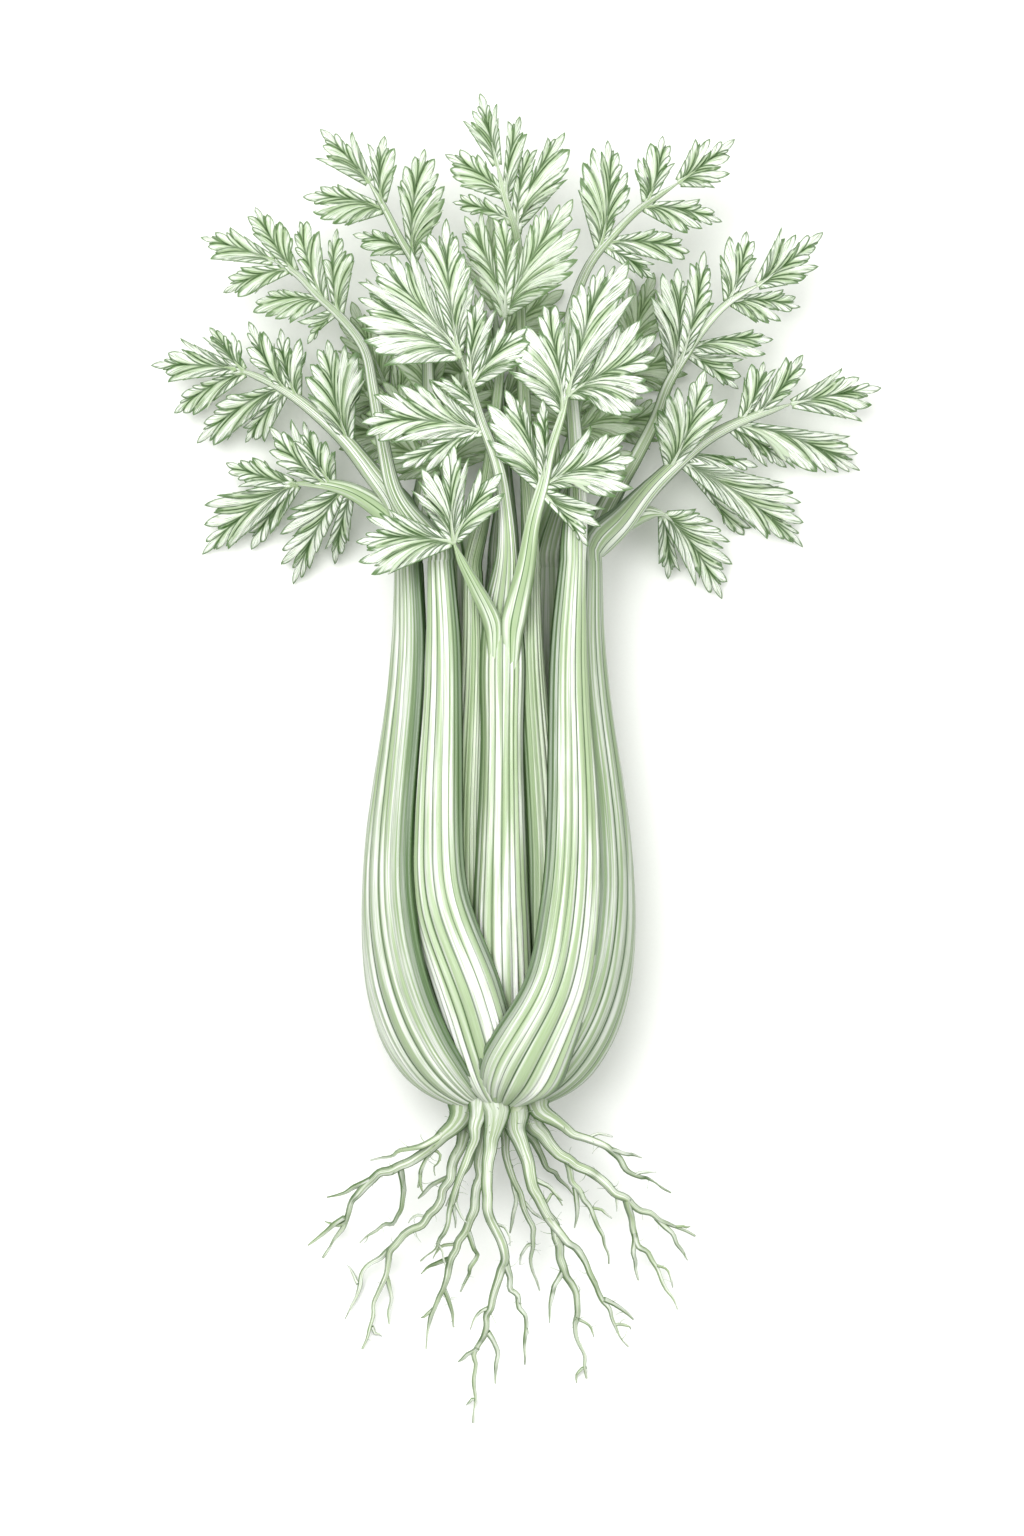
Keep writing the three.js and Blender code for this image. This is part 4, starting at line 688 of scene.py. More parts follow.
# the leaves that show, with a stem for every branch of a leaf. A leaflet is its base, its tip, and the points
# of its side lobes on the left and on the right, seen from above; only the tip has a height of its own
leaves = {
    "front_centre": [
        {
            "stem": [(-4.4, 193, 27), (-9.6, 203, 34), (-16, 215, 42), (-19, 223, 46)],
            "width": 6,
            "shift": -3.6,
            "leaflets": [
                ((-19, 223), (-18, 259, 52), [(-35, 241), (-31, 250)], [(-12, 254)]),
                ((-19, 222), (-57, 221, 38), [(-44, 208), (-51, 208), (-56, 213)],
                 [(-44, 234), (-53, 231)]),
                ((-18, 221), (1, 248, 47), [(-8, 250)], [(0, 234), (2, 240)]),
            ],
        },
        {
            "stem": [
                (3, 215, 32), (2, 235, 36), (-1, 252, 40), (-6, 265, 43), (-10, 277, 46), (-12, 285, 48),
                (-16, 295, 49),
            ],
            "width": 8,
            "main": True,
            "leaflets": [
                ((-6, 264), (-55, 268, 40), [(-43, 260), (-53, 263)], [(-28, 285), (-40, 283), (-50, 279)]),
                ((-7, 266), (-39, 250, 38), [(-22, 254), (-30, 248)], [(-43, 254)]),
                ((-9, 272), (-19, 287, 44), [(-28, 285)], [(-14, 281)]),
                ((-15, 293), (-56, 317, 44), [(-46, 290), (-54, 300), (-57, 309)], [(-53, 325)]),
                ((-16, 294), (-51, 332, 48), [(-56, 323)], [(-35, 337), (-43, 334)]),
                ((-16, 295), (-21, 348, 53), [(-32, 339), (-28, 342)], [(-9, 325), (-14, 334), (-17, 341)]),
                ((-11, 283), (-7, 318, 55), [(-13, 312)], [(-1, 312)]),
                ((-11, 282), (11, 305, 52), [(2, 309)], [(9, 291), (12, 299)]),
            ],
        },
        {
            "stem": [
                (7.4, 199, 27), (10.2, 211, 33), (13, 229, 40), (17, 243, 43), (20, 257, 46), (24, 269, 48),
                (27, 280, 49),
            ],
            "width": 8,
            "shift": 3.6,
            "leaflets": [
                ((16, 241), (2, 281, 46), [(0, 254), (-5, 261), (-5, 275)], [(10, 278)]),
                ((17, 243), (17, 277, 53), [(13, 268)], [(19, 269)]),
                ((17, 243), (54, 254, 38), [(36, 267), (50, 264)], [(39, 243), (53, 242)]),
                ((16, 241), (35, 219, 38), [(42, 234), (40, 227)], [(29, 225)]),
                ((24, 271), (17, 314, 50), [(3, 288), (5, 299), (10, 306)], [(26, 307), (22, 314)]),
                ((27, 280), (41, 330, 46), [(28, 309), (32, 323)], [(54, 319), (51, 332)]),
                ((26, 278), (62, 294, 40), [(40, 301), (56, 309), (62, 303)],
                 [(40, 276), (56, 272), (61, 281)]),
            ],
        },
    ],
    "left": [
        {
            "stem": [
                (-40, 235, 3), (-51, 249, 1), (-62, 263, -2), (-74, 274, -6), (-86, 283, -10),
                (-100, 290, -14), (-106, 292, -16),
            ],
            "width": 9.5,
            "leaflets": [
                ((-106, 292), (-141, 294, -28), [(-134, 287), (-135, 291)], [(-129, 305), (-134, 299)]),
                ((-103, 291), (-114, 308, -18), [(-120, 305), (-117, 309)], [(-105, 299), (-108, 307)]),
                ((-85, 283), (-101, 311, -12), [(-95, 290), (-102, 300)], [(-91, 301), (-95, 307)]),
                ((-81, 280), (-88, 308, -8), [(-91, 300)], [(-79, 295), (-80, 304)]),
                ((-59, 262), (-69, 303, 2), [(-77, 280), (-78, 288), (-76, 293), (-73, 299)],
                 [(-57, 285), (-57, 298), (-62, 301)]),
                ((-102, 290), (-132, 275, -36), [(-119, 277), (-124, 274), (-128, 275)],
                 [(-121, 287), (-129, 282)]),
                ((-88, 284), (-123, 263, -40), [(-110, 265), (-116, 262)],
                 [(-106, 282), (-115, 278), (-120, 271)]),
                ((-86, 283), (-103, 263, -34), [(-95, 263), (-99, 264)], [(-104, 269)]),
            ],
        },
        {
            "stem": [
                (-38, 215, 8), (-39, 223, 5), (-43, 231, 1), (-50, 237, -4), (-60, 243, -10), (-72, 246, -16),
                (-85, 246, -20),
            ],
            "leaflets": [
                ((-83, 246), (-111, 255, -34), [(-106, 245), (-110, 251)],
                 [(-95, 254), (-100, 257), (-105, 256)]),
                ((-69, 247), (-93, 269, -18), [(-86, 250), (-93, 259), (-91, 263)], [(-84, 272)]),
                ((-67, 246), (-79, 271, -13), [(-83, 263)], [(-66, 259), (-70, 263), (-75, 267)]),
                ((-82, 246), (-121, 218, -45), [(-110, 220), (-115, 220)],
                 [(-112, 242), (-120, 238), (-120, 230)]),
                ((-81, 246), (-101, 220, -44), [(-90, 229), (-93, 226)], [(-102, 227)]),
                ((-63, 244), (-84, 206, -45), [(-77, 212)], [(-85, 236), (-89, 226), (-89, 214)]),
                ((-60, 243), (-67, 214, -42), [(-61, 223), (-64, 218)], [(-71, 220)]),
            ],
        },
    ],
    "right": [
        {
            "stem": [
                (48, 229, 3), (58, 241, 0), (69, 252, -4), (82, 263, -8), (97, 271, -12), (117, 278, -17),
            ],
            "width": 9.5,
            "leaflets": [
                ((117, 278), (154, 285, -28), [(138, 293), (145, 289)], [(146, 271), (150, 278)]),
                ((97, 271), (106, 295, -14), [(98, 288), (101, 294)], [(111, 292)]),
                ((102, 273), (122, 298, -18), [(115, 297)], [(117, 282), (120, 287), (123, 292)]),
                ((67, 251), (82, 291, 4), [(62, 266), (63, 275), (67, 281), (71, 284)],
                 [(89, 272), (91, 279), (85, 285)]),
                ((94, 269), (146, 252, -42), [(142, 266), (145, 259)],
                 [(118, 257), (128, 251), (137, 251)]),
                ((92, 268), (116, 253, -36), [(110, 263)], [(103, 257), (108, 253)]),
                ((74, 256), (104, 253, -24), [(94, 257)], [(96, 250)]),
                ((72, 254), (123, 221, -45), [(115, 247), (122, 239), (123, 231)],
                 [(108, 224), (115, 224), (119, 223)]),
                ((73, 255), (95, 227, -43), [(102, 229), (99, 226)], [(90, 233)]),
            ],
        },
        {
            "stem": [
                (37, 215, 7.5), (39.5, 221.5, 6), (47, 228.5, 2), (54, 232.5, -4), (61, 234.5, -9.5),
                (68, 233, -14),
            ],
            "leaflets": [
                ((66, 233), (90, 200, -45), [(79, 236), (86, 231), (93, 223), (94, 214), (92, 207)],
                 [(79, 205)]),
                ((65, 233), (68, 208, -42), [(73, 211)], [(64, 214)]),
            ],
        },
    ],
    "front_left": [
        {
            "stem": [
                (-41, 239, 22), (-47, 263, 17), (-51, 285, 14), (-54, 299, 12), (-64, 312, 11),
                (-73, 320, 10), (-81, 329, 8), (-90, 334, 6),
            ],
            "leaflets": [
                ((-90, 334), (-120, 344, -2), [(-116, 335), (-117, 340)], [(-108, 348), (-114, 346)]),
                ((-81, 330), (-98, 356, 2), [(-99, 345), (-101, 352)],
                 [(-84, 341), (-86, 348), (-88, 350), (-93, 353)]),
                ((-68, 319), (-80, 350, 6), [(-81, 334), (-82, 345)], [(-72, 346), (-77, 350)]),
                ((-63, 313), (-65, 347, 8), [(-71, 334)], [(-58, 334), (-59, 337), (-63, 343)]),
                ((-85, 329), (-111, 322, -4), [(-98, 322), (-105, 320)], [(-104, 332), (-109, 328)]),
                ((-71, 317), (-98, 318, -2), [(-84, 309), (-90, 311), (-94, 312), (-99, 314)],
                 [(-87, 323), (-93, 322)]),
                ((-67, 312), (-77, 301, 2), [(-71, 307)], [(-81, 310)]),
            ],
        },
    ],
    "front_right": [
        {
            "stem": [
                (31, 239, 24), (30, 263, 20), (28, 287, 16), (27, 305, 14), (30, 319, 13), (36, 333, 12),
                (45, 344, 11), (56, 355, 10), (71, 365, 8),
            ],
            "leaflets": [
                ((71, 365), (94, 383, 2), [(78, 383), (84, 383)], [(86, 363), (92, 369), (92, 376)]),
                ((58, 357), (65, 384, 8), [(55, 367), (55, 375), (60, 381)], [(70, 373), (68, 380)]),
                ((39, 338), (43, 382, 11), [(31, 362), (32, 367), (33, 373), (37, 379)],
                 [(48, 355), (52, 363), (51, 369), (47, 377)]),
                ((57, 355), (89, 350, 0), [(80, 359), (86, 354)], [(70, 346), (75, 345), (81, 347)]),
                ((42, 341), (76, 338, 0), [(62, 347), (69, 345), (73, 343)], [(69, 333), (74, 335)]),
                ((41, 340), (62, 327, 0), [(62, 333)], [(57, 327)]),
            ],
        },
    ],
    "inner_left": [
        {
            "stem": [(-6, 239, 20), (-1, 279, 28), (2, 311, 33)],
            "leaflets": [
                ((1, 310), (-14, 350, 36), [(-8, 326), (-17, 334), (-15, 343)], [(-7, 352)]),
                ((2, 311), (2, 349, 40), [(-3, 349)], [(8, 341)]),
                ((2, 311), (29, 357, 32), [(12, 347), (18, 354)], [(23, 322), (31, 333), (32, 345)]),
            ],
        },
    ],
    "inner_right": [
        {
            "stem": [(10, 270, 10), (8, 320, 14), (7, 343, 16), (3, 355, 18), (-1, 371, 19)],
            "leaflets": [
                ((-1, 371), (-8, 400, 20), [(-15, 389), (-11, 393)], [(-1, 396)]),
                ((3, 357), (8, 391, 17), [(3, 389)], [(11, 384)]),
                ((7, 344), (11, 378, 15), [(5, 368)], [(15, 378)]),
                ((7, 346), (26, 385, 12), [(19, 383)], [(27, 366), (28, 378)]),
                ((2, 359), (-22, 376, 14), [(-16, 363), (-19, 367), (-20, 370)],
                 [(-6, 372), (-9, 376), (-16, 378)]),
                ((6, 349), (-19, 357, 13), [(-10, 353), (-16, 354)], [(-6, 359), (-16, 360)]),
            ],
        },
    ],
    "back_left": [
        {
            "stem": [
                (-29, 260, -6), (-30, 319, 2), (-34, 333, 4), (-40, 343, 6), (-46, 355, 8), (-52, 365, 8),
            ],
            "leaflets": [
                ((-52, 365), (-72, 387, 4), [(-74, 375), (-71, 380)], [(-59, 386)]),
                ((-46, 354), (-79, 360, 0), [(-61, 348), (-67, 349), (-72, 351), (-75, 354)],
                 [(-65, 365), (-72, 364)]),
                ((-47, 357), (-46, 384, 7), [(-53, 381)], [(-41, 372), (-42, 379)]),
                ((-34, 334), (-30, 379, 5), [(-41, 364), (-38, 372), (-34, 376)],
                 [(-25, 350), (-23, 354), (-22, 359), (-22, 364), (-26, 375)]),
                ((-37, 338), (-59, 345, 0), [(-52, 336), (-56, 340)], [(-46, 346), (-51, 347)]),
            ],
        },
    ],
    "back_right": [
        {
            "stem": [
                (45, 239, -13), (56, 259, -11), (63, 273, -9), (67, 285, -8), (73, 295, -7), (81, 307, -7),
                (91, 318, -7), (103, 325, -8),
            ],
            "leaflets": [
                ((103, 325), (130, 347, -16), [(113, 349), (119, 346)],
                 [(120, 326), (123, 329), (128, 333), (127, 341)]),
                ((91, 318), (99, 347, -9), [(88, 334), (92, 345)], [(103, 336), (102, 343)]),
                ((69, 289), (71, 332, -5), [(60, 321), (65, 330)], [(75, 325)]),
                ((72, 293), (82, 339, -6), [(76, 334)], [(86, 318), (85, 323), (84, 332)]),
                ((92, 318), (121, 317, -18), [(114, 324), (119, 321)],
                 [(103, 310), (108, 310), (113, 311)]),
                ((76, 300), (110, 304, -18), [(102, 308), (106, 306)], [(99, 297), (107, 298)]),
                ((75, 298), (96, 284, -18), [(98, 296), (97, 289)], [(90, 285)]),
            ],
        },
    ],
}


# the leaves beneath them, whose leaflets grow by one rule: how long they are, and how far their tips drop
underLeaves = {
    "back_lower_left": {"stem": [(-25, 245, -37), (-38, 266, -40), (-47, 288, -41)], "reach": 33, "drop": 2},
    "back_middle": {"stem": [(2, 245, -40), (0, 280, -42), (-2, 318, -42)], "reach": 36, "drop": 2},
    "back_lower_right": {"stem": [(28, 245, -37), (43, 272, -41), (52, 300, -42)], "reach": 32, "drop": 2},
    "heart_left": {"stem": [(-14, 225, -2), (-22, 250, -4), (-28, 280, -8)], "reach": 33, "drop": 5},
    "heart_right": {"stem": [(15, 225, -2), (24, 250, -4), (32, 276, -8)], "reach": 32, "drop": 5},
}

# how much light is painted on a leaf: the outer ones in the light are painted brighter, and those beneath
# darker, as painted shade
leafPaintedLight = {
    "front_centre": 1.0, "left": 1.0, "right": 1.0, "front_left": 0.88, "front_right": 0.98,
    "inner_left": 0.8, "inner_right": 0.9, "back_left": 0.9, "back_right": 1.0,
    "back_lower_left": 0.5, "back_middle": 0.45, "back_lower_right": 0.5,
    "heart_left": 0.45, "heart_right": 0.45,
}

leafShape = {
    "stemWidths": [7.0, 2.4],  # where a branch's stem has settled above its stalk, and at its tip
    "stemDepth": 0.8,  # times its width, once it has turned its face up
    "stemFlare": 26,  # how far up its stem the stalk's own width dies away
    "stemPoint": 8,  # the length that a stem's tip sharpens over, under its last leaflet
    "stemTip": 0.35,  # times its width, at its very tip
    "turnLength": 45,  # the length that a stem turns its face up over
    "paintedLightLength": 40,  # the length that a main stem's painted light goes over from its stalk's to its leaf's in
    "pathSpacing": 0.5,  # between the points that a stem's path is measured in
    "stemSpacing": 3.0,  # between the stations of a main stem
    "fineSpacing": 2.2,  # and between those of a side stem or midrib
    "stemSunk": 24,  # how far down inside its stalk a side stem starts
    "stemRise": 2.6,  # how far out of the stalk's middle it has come where the stalk ends
    "sideFoot": 1.3,  # times its width, where a side stem leaves its stalk
    "sideStart": 0.3,  # times that width, where it starts inside the stalk
    "easeOver": 9,  # the length that a stem's turns are rounded off over
    "lead": 5,  # how far a main stem goes straight on from its stalk
    "insideWidth": 0.985,  # how much narrower than its stalk a main stem starts, inside the stalk's end
    "stemRibs": 9,
    "stemRibHeight": 0.35,
    "stemLumpHeight": 0.4,
    "stemLumpScale": 60,
    "midribWidths": [1.9, 0.4],
    "midribDepth": 0.8,  # times its width
    "midribEnd": 0.36,  # of the leaflet's length
    "veinAngle": 19,  # degrees between a side vein and the midrib
    "ribEnd": 0.72,  # how far up its midrib a leaflet's last side vein leaves it
    "baseHalfWidth": 1.9,
    "notch": 1.0,  # a notch's depth, times the gap between its two lobes
    "shallowest": 0.08,  # the least and the most of the way to the midrib that it cuts
    "deepest": 0.66,
    "bulge": 0.2,  # how far a lobe's flank swells, times its length
    "fingerWidth": 6.2,
    "fingerDepth": 0.27,  # times the blade's reach there
    "deepestFinger": 6.5,
    "point": 0.3,  # 0 for blunt fingertips and 1 for straight-sided ones
    "spacing": 0.85,  # between the points of an edge
    "rows": 7,  # from the midrib to the edge
    "wholeFrom": 34,  # the length from which a leaflet's pleats and waves have their whole height
    "lobePleat": 1.3,  # the folds down between the lobes
    "fingerPleat": 0.75,  # the ridges up to the fingers
    "gutter": 1.0,  # how far the blade rises from its midrib
    "cup": 0.008,
    "arch": 0.05,
    "wave": 0.7,  # of the edge
    "tipDroop": 1.4,  # of the edge
    "thickness": 0.45,
    "floorGap": 0.6,
}


def bezier(a, b, c, share):
    share = np.asarray(share, float)[..., None]
    return a * (1 - share) ** 2 + 2 * b * share * (1 - share) + c * share**2


def turnedLeft(vector):
    return np.array([-vector[1], vector[0]])


def halfEdge(midribAt, peaks, way, fingerWidth, dice):
    # one side of a leaflet from its base to its tip: the edge's points, the place on the midrib that the line
    # to each one starts from, its place among the fingers, whole at a notch and half-way at a finger's tip,
    # and its place among the lobes, even at a notch and odd at a lobe's tip
    places = np.linspace(0, leafShape["ribEnd"], 60)
    midrib = midribAt(places)
    tangents = unit(np.gradient(midrib, axis=0))
    feet = []
    for peak in peaks:
        cosines = np.sum(unit(peak - midrib) * tangents, axis=1)
        ahead = np.flatnonzero(cosines >= math.cos(math.radians(leafShape["veinAngle"])))
        foot = places[ahead[-1]] if len(ahead) else 0
        feet.append(min(max(foot, feet[-1] + 0.04 if feet else 0.03), leafShape["ribEnd"] - 0.04))
    peaks, feet = [*peaks, midribAt(1)], [*feet, leafShape["ribEnd"]]
    corners = [(midrib[0] + way * turnedLeft(tangents[0]) * leafShape["baseHalfWidth"], 0.0)]
    for number, (peak, foot) in enumerate(zip(peaks, feet)):
        corners.append((peak, foot))
        if number + 1 < len(peaks):
            nextPeak, notchFoot = peaks[number + 1], (foot + feet[number + 1]) / 2
            between = (peak + nextPeak) / 2
            inward = midribAt(notchFoot) - between
            depth = leafShape["notch"] * np.linalg.norm(nextPeak - peak) / np.linalg.norm(inward)
            depth = min(max(depth, leafShape["shallowest"]), leafShape["deepest"])
            corners.append((between + depth * inward, notchFoot))
    edge, starts, phases, lobes, passed = [], [], [], [], 0.0
    for number, ((a, footA), (b, footB)) in enumerate(zip(corners, corners[1:])):
        rising = number % 2 == 0
        peak, foot = (b, footB) if rising else (a, footA)
        length = np.linalg.norm(b - a)
        outward = turnedLeft(unit(b - a))
        outward *= np.sign(outward @ ((a + b) / 2 - (midribAt(foot) + peak) / 2)) or 1
        halves = 2 * max(0, round(length / fingerWidth - 0.5)) + 1
        steps = halves * max(2, round(length / leafShape["spacing"] / halves))
        share = np.arange(steps) / steps
        fromNotch = share if rising else 1 - share
        start = footA + (footB - footA) * share
        swell = 0 if number == 0 else leafShape["bulge"] * length
        uneven = share + dice.uniform(-0.07, 0.07) * np.sin(math.pi * share)  # no two fingers are alike
        uneven += dice.uniform(-0.05, 0.05) * np.sin(2 * math.pi * share)
        line = bezier(a, (a + b) / 2 + 2 * swell * outward, b, uneven)
        if halves > 1:
            place = halves / 2 * fromNotch
            fromTip = np.abs(place % 1 * 2 - 1)  # 0 at a finger's tip and 1 in a notch
            lost = leafShape["point"] * fromTip + (1 - leafShape["point"]) * fromTip**3
            depths = [dice.uniform(0.5, 1.3) for _ in range(halves + 1)]
            deep = np.interp(place, np.arange(halves + 1) / 2, depths)
            fromFoot = np.clip(fromNotch * 2.4 - (1.0 if number == 0 else 0), 0, 1)
            inward = line - midribAt(start)
            far = np.linalg.norm(inward, axis=1)
            deep *= np.minimum(leafShape["fingerDepth"] * far, leafShape["deepestFinger"])
            line = line - inward / far[:, None] * (lost * deep * fromFoot)[:, None]
        edge.append(line)
        starts.append(start)
        phases.append(passed + halves / 2 * share)
        lobes.append(number + share)
        passed += halves / 2
    return np.vstack(edge), *[np.concatenate(column) for column in (starts, phases, lobes)], passed


def gapTo(points, lines):  # the distance from each point to the nearest of some lines' points
    spots = np.vstack(lines)
    return np.min(np.linalg.norm(points[:, None] - spots[None], axis=2), axis=1)


def leafletPiece(base, stemHeading, leaflet, tone, seed):
    # one leaflet, a thin closed blade: lines flow from its midrib to every point of its edge
    dice = random.Random(seed)
    tip, lobes = leaflet[1], leaflet[2:]
    start, end = np.array(base[:2], float), np.array(tip[:2], float)
    length = np.linalg.norm(end - start)
    heading = (end - start) / length
    lean = 0.1 + 0.4 * max(0.0, heading @ stemHeading)
    bend = start + 0.42 * length * unit(lean * stemHeading + (1 - lean) * heading)

    def midribAt(share):
        return bezier(start, bend, end, share)

    fingerWidth = leafShape["fingerWidth"] * min(1, 0.55 + length / 80)
    sides = [
        halfEdge(midribAt, [np.array(p, float) for p in lobe], way, fingerWidth, dice)
        for lobe, way in zip(lobes, (1, -1))
    ]
    ends = np.vstack([sides[0][0], end[None], sides[1][0][::-1]])
    feet = np.concatenate([sides[0][1], [leafShape["ribEnd"]], sides[1][1][::-1]])
    phases = np.concatenate([sides[0][2], [sides[0][4]], sides[1][2][::-1]])
    lobePhases = np.concatenate([sides[0][3], [2 * len(lobes[0]) + 1], sides[1][3][::-1]])
    run = np.concatenate([[0], np.cumsum(np.linalg.norm(np.diff(ends, axis=0), axis=1))])
    feet = np.round(feet, 3)
    places = np.unique(feet)
    rows, lines = leafShape["rows"], len(ends)
    shares = (np.arange(1, rows + 1) / rows) ** 0.9
    tangents = unit(np.gradient(midribAt(np.linspace(0, 1, 201)), axis=0))[np.round(feet * 200).astype(int)]
    starts = midribAt(feet)
    reach = np.linalg.norm(ends - starts, axis=1)
    controls = starts + 0.5 * reach[:, None] * unit(0.75 * tangents + 0.25 * unit(ends - starts))
    grid = bezier(starts[:, None], controls[:, None], ends[:, None], np.tile(shares, (lines, 1)))
    midrib = midribAt(places)
    flat = np.vstack([midrib, grid.reshape(-1, 2)])

    def spread(onMidrib, perLine, perRow):
        values = np.broadcast_to(perLine, (rows, lines)).T * np.broadcast_to(perRow, (lines, rows))
        return np.concatenate([np.full(len(places), onMidrib, float), values.ravel()])

    share, along = spread(0, 1, shares), spread(0, reach, shares)
    across = np.concatenate([np.interp(places, feet[:lines // 2], run[:lines // 2]), np.repeat(run, rows)])
    phase = np.concatenate([np.full(len(places), 0.5), np.repeat(phases, rows)])
    lobePhase = np.concatenate([np.ones(len(places)), np.repeat(lobePhases, rows)])
    number = len(places) + np.arange(lines * rows).reshape(lines, rows)
    here, there = number[:-1], number[1:]
    quads = np.stack([here[:, :-1], there[:, :-1], there[:, 1:], here[:, 1:]], axis=-1).reshape(-1, 4)
    triangles = []  # between the midrib and the first row
    footAt = np.searchsorted(places, feet)
    for k, (low, high) in enumerate(zip(footAt, footAt[1:])):
        step = 1 if high > low else -1
        triangles += [(m, m + step, here[k, 0]) for m in range(low, high, step)]
        triangles.append((high, there[k, 0], here[k, 0]))
    triangles = np.array(triangles)
    forward = (flat - start) @ heading / length
    aside = (flat - start) @ turnedLeft(heading)
    along01 = np.clip(forward, 0, 1.05)
    ribGap, edgeGap = gapTo(flat, [midrib]), gapTo(flat, [ends])
    creases = [k for k in range(lines) if abs(phases[k] - round(phases[k])) < 0.01]
    notches = [k for k in creases if abs(lobePhases[k] / 2 - round(lobePhases[k] / 2)) < 0.01]
    creaseGap = gapTo(flat, [denser(grid[k]) for k in creases])
    notchGap = gapTo(flat, [denser(grid[k]) for k in notches])
    size = min(1.0, length / leafShape["wholeFrom"])
    fingers = np.abs(np.sin(math.pi * phase))
    hollow = (0.5 + 0.5 * np.cos(math.pi * lobePhase)) ** 2
    swell = share**0.8 * (1 - 0.35 * share**2)  # pleats grow from nothing at the midrib
    z = base[2] + (tip[2] - base[2]) * along01
    z += leafShape["arch"] * length * 4 * along01 * (1 - along01) - leafShape["cup"] * aside**2
    z += leafShape["gutter"] * size * (1 - np.exp(-ribGap / 2))
    z += size * swell * (leafShape["fingerPleat"] * fingers - leafShape["lobePleat"] * hollow)
    z += leafShape["wave"] * size * share**2 * np.sin(across / dice.uniform(4, 7) + dice.uniform(0, 6))
    z += aside * dice.uniform(-0.07, 0.07)
    z -= leafShape["tipDroop"] * size * np.clip((share - 0.7) / 0.3, 0, 1) ** 2
    top = np.column_stack([flat, np.maximum(z, floorLevel + leafShape["floorGap"])])
    normals = np.zeros_like(top)
    for cells in (quads, triangles):
        push = np.cross(top[cells[:, 1]] - top[cells[:, 0]], top[cells[:, 2]] - top[cells[:, 0]])
        for column in cells.T:
            np.add.at(normals, column, push)
    thin = leafShape["thickness"] * np.where(edgeGap < 0.3, 0.6, 1)
    under = top - unit(normals) * thin[:, None]
    total = len(top)
    loop = [*number[:, -1], *number[-1, -2::-1], 0, *number[0, :-1]]
    rim = [(a, b, b + total, a + total) for a, b in zip(loop, loop[1:] + loop[:1])]
    faces = [tuple(face) for face in (*quads, *triangles)]
    bothSides = {
        "creaseGap": creaseGap, "ribGap": ribGap, "edgeGap": edgeGap, "across": across, "along": along,
        "notchGap": notchGap, "reach": share, "tone": np.full(total, tone),
    }
    return {
        "points": np.vstack([top, under]),
        "faces": faces + [tuple(corner + total for corner in face[::-1]) for face in faces] + rim,
        "rim": len(rim), "under": np.repeat([0.0, 1.0], total),
        **{key: np.tile(values, 2) for key, values in bothSides.items()},
    }, midribAt


def denser(line):  # more points along a line, so that gaps to it are even
    shares = np.linspace(0, len(line) - 1, 4 * len(line))
    return np.column_stack([np.interp(shares, np.arange(len(line)), column) for column in line.T])


def underLeaflets(leaf):  # pairs of leaflets up a stem and one at its end, grown by one rule
    path = smoothPath(leaf["stem"], 1.0)[0]
    made = []
    for place, swing, length in (  # the share of the stem below it, its turn off the stem, its size
        (0.45, 52, 1), (0.45, -52, 1), (0.78, 52, 1), (0.78, -52, 1), (1, 0, 1.1),
    ):
        at = min(round(place * (len(path) - 1)), len(path) - 2)
        base, ahead = path[at], unit((path[at + 1] - path[at])[:2])
        turn = math.radians(swing)
        heading = np.array([
            ahead[0] * math.cos(turn) - ahead[1] * math.sin(turn),
            ahead[0] * math.sin(turn) + ahead[1] * math.cos(turn),
        ])
        size = leaf["reach"] * length
        tip, *lobes = [
            tuple(base[:2] + size * (forward * heading + aside * turnedLeft(heading)))
            for forward, aside in ((1, 0), (0.55, 0.36), (0.85, 0.22), (0.55, -0.36), (0.85, -0.22))
        ]
        made.append((tuple(base[:2]), (*tip, base[2] - leaf["drop"]), lobes[:2], lobes[2:]))
    return made


def joined(name, blades):  # a branch's blades as one mesh, with sharp rims
    points, faces, rims, first = [], [], [], 0
    for blade in blades:
        points.append(blade["points"])
        faces += [tuple(corner + first for corner in face) for face in blade["faces"]]
        rims += [False] * (len(blade["faces"]) - blade["rim"]) + [True] * blade["rim"]
        first += len(blade["points"])
    piece = addMesh(name, inFrame(np.vstack(points)), [], faces, {
        key: np.concatenate([blade[key] for blade in blades]) for key in bladeAttributes
    })
    piece.data.polygons.foreach_set("use_smooth", [not rim for rim in rims])
    piece.data.materials.append(materials["blade"])
    return piece


def merged(name, pieces):  # several meshes made one, with the materials of each kept
    bpy.ops.object.select_all(action="DESELECT")
    for piece in pieces:
        piece.select_set(True)
    bpy.context.view_layer.objects.active = pieces[0]
    bpy.ops.object.join()
    pieces[0].name = pieces[0].data.name = name
    return pieces[0]


def stemWidths(distance, length, footWidth, settled):  # at a distance from the stalk's end
    along = np.clip(distance / length, 0, 1)
    width = settled + (leafShape["stemWidths"][1] - settled) * along**1.15
    width = width + (footWidth - settled) * np.exp(-(np.maximum(distance, 0) / leafShape["stemFlare"]) ** 2)
    thin = leafShape["stemTip"]
    return width * (thin + (1 - thin) * np.clip((length - distance) / leafShape["stemPoint"], 0, 1))


def stalkEnd(place):  # the end of a stalk's centre line, in points 1 mm apart, and its outward way there
    high, sunk = stalks[place].get("end", stalkShape["heights"][-1]), leafShape["stemSunk"]
    centres, turn = stalkCentres(stalks[place], np.linspace(high - sunk, high, sunk + 1))
    return centres, np.array([math.cos(turn[-1]), 0, math.sin(turn[-1])])


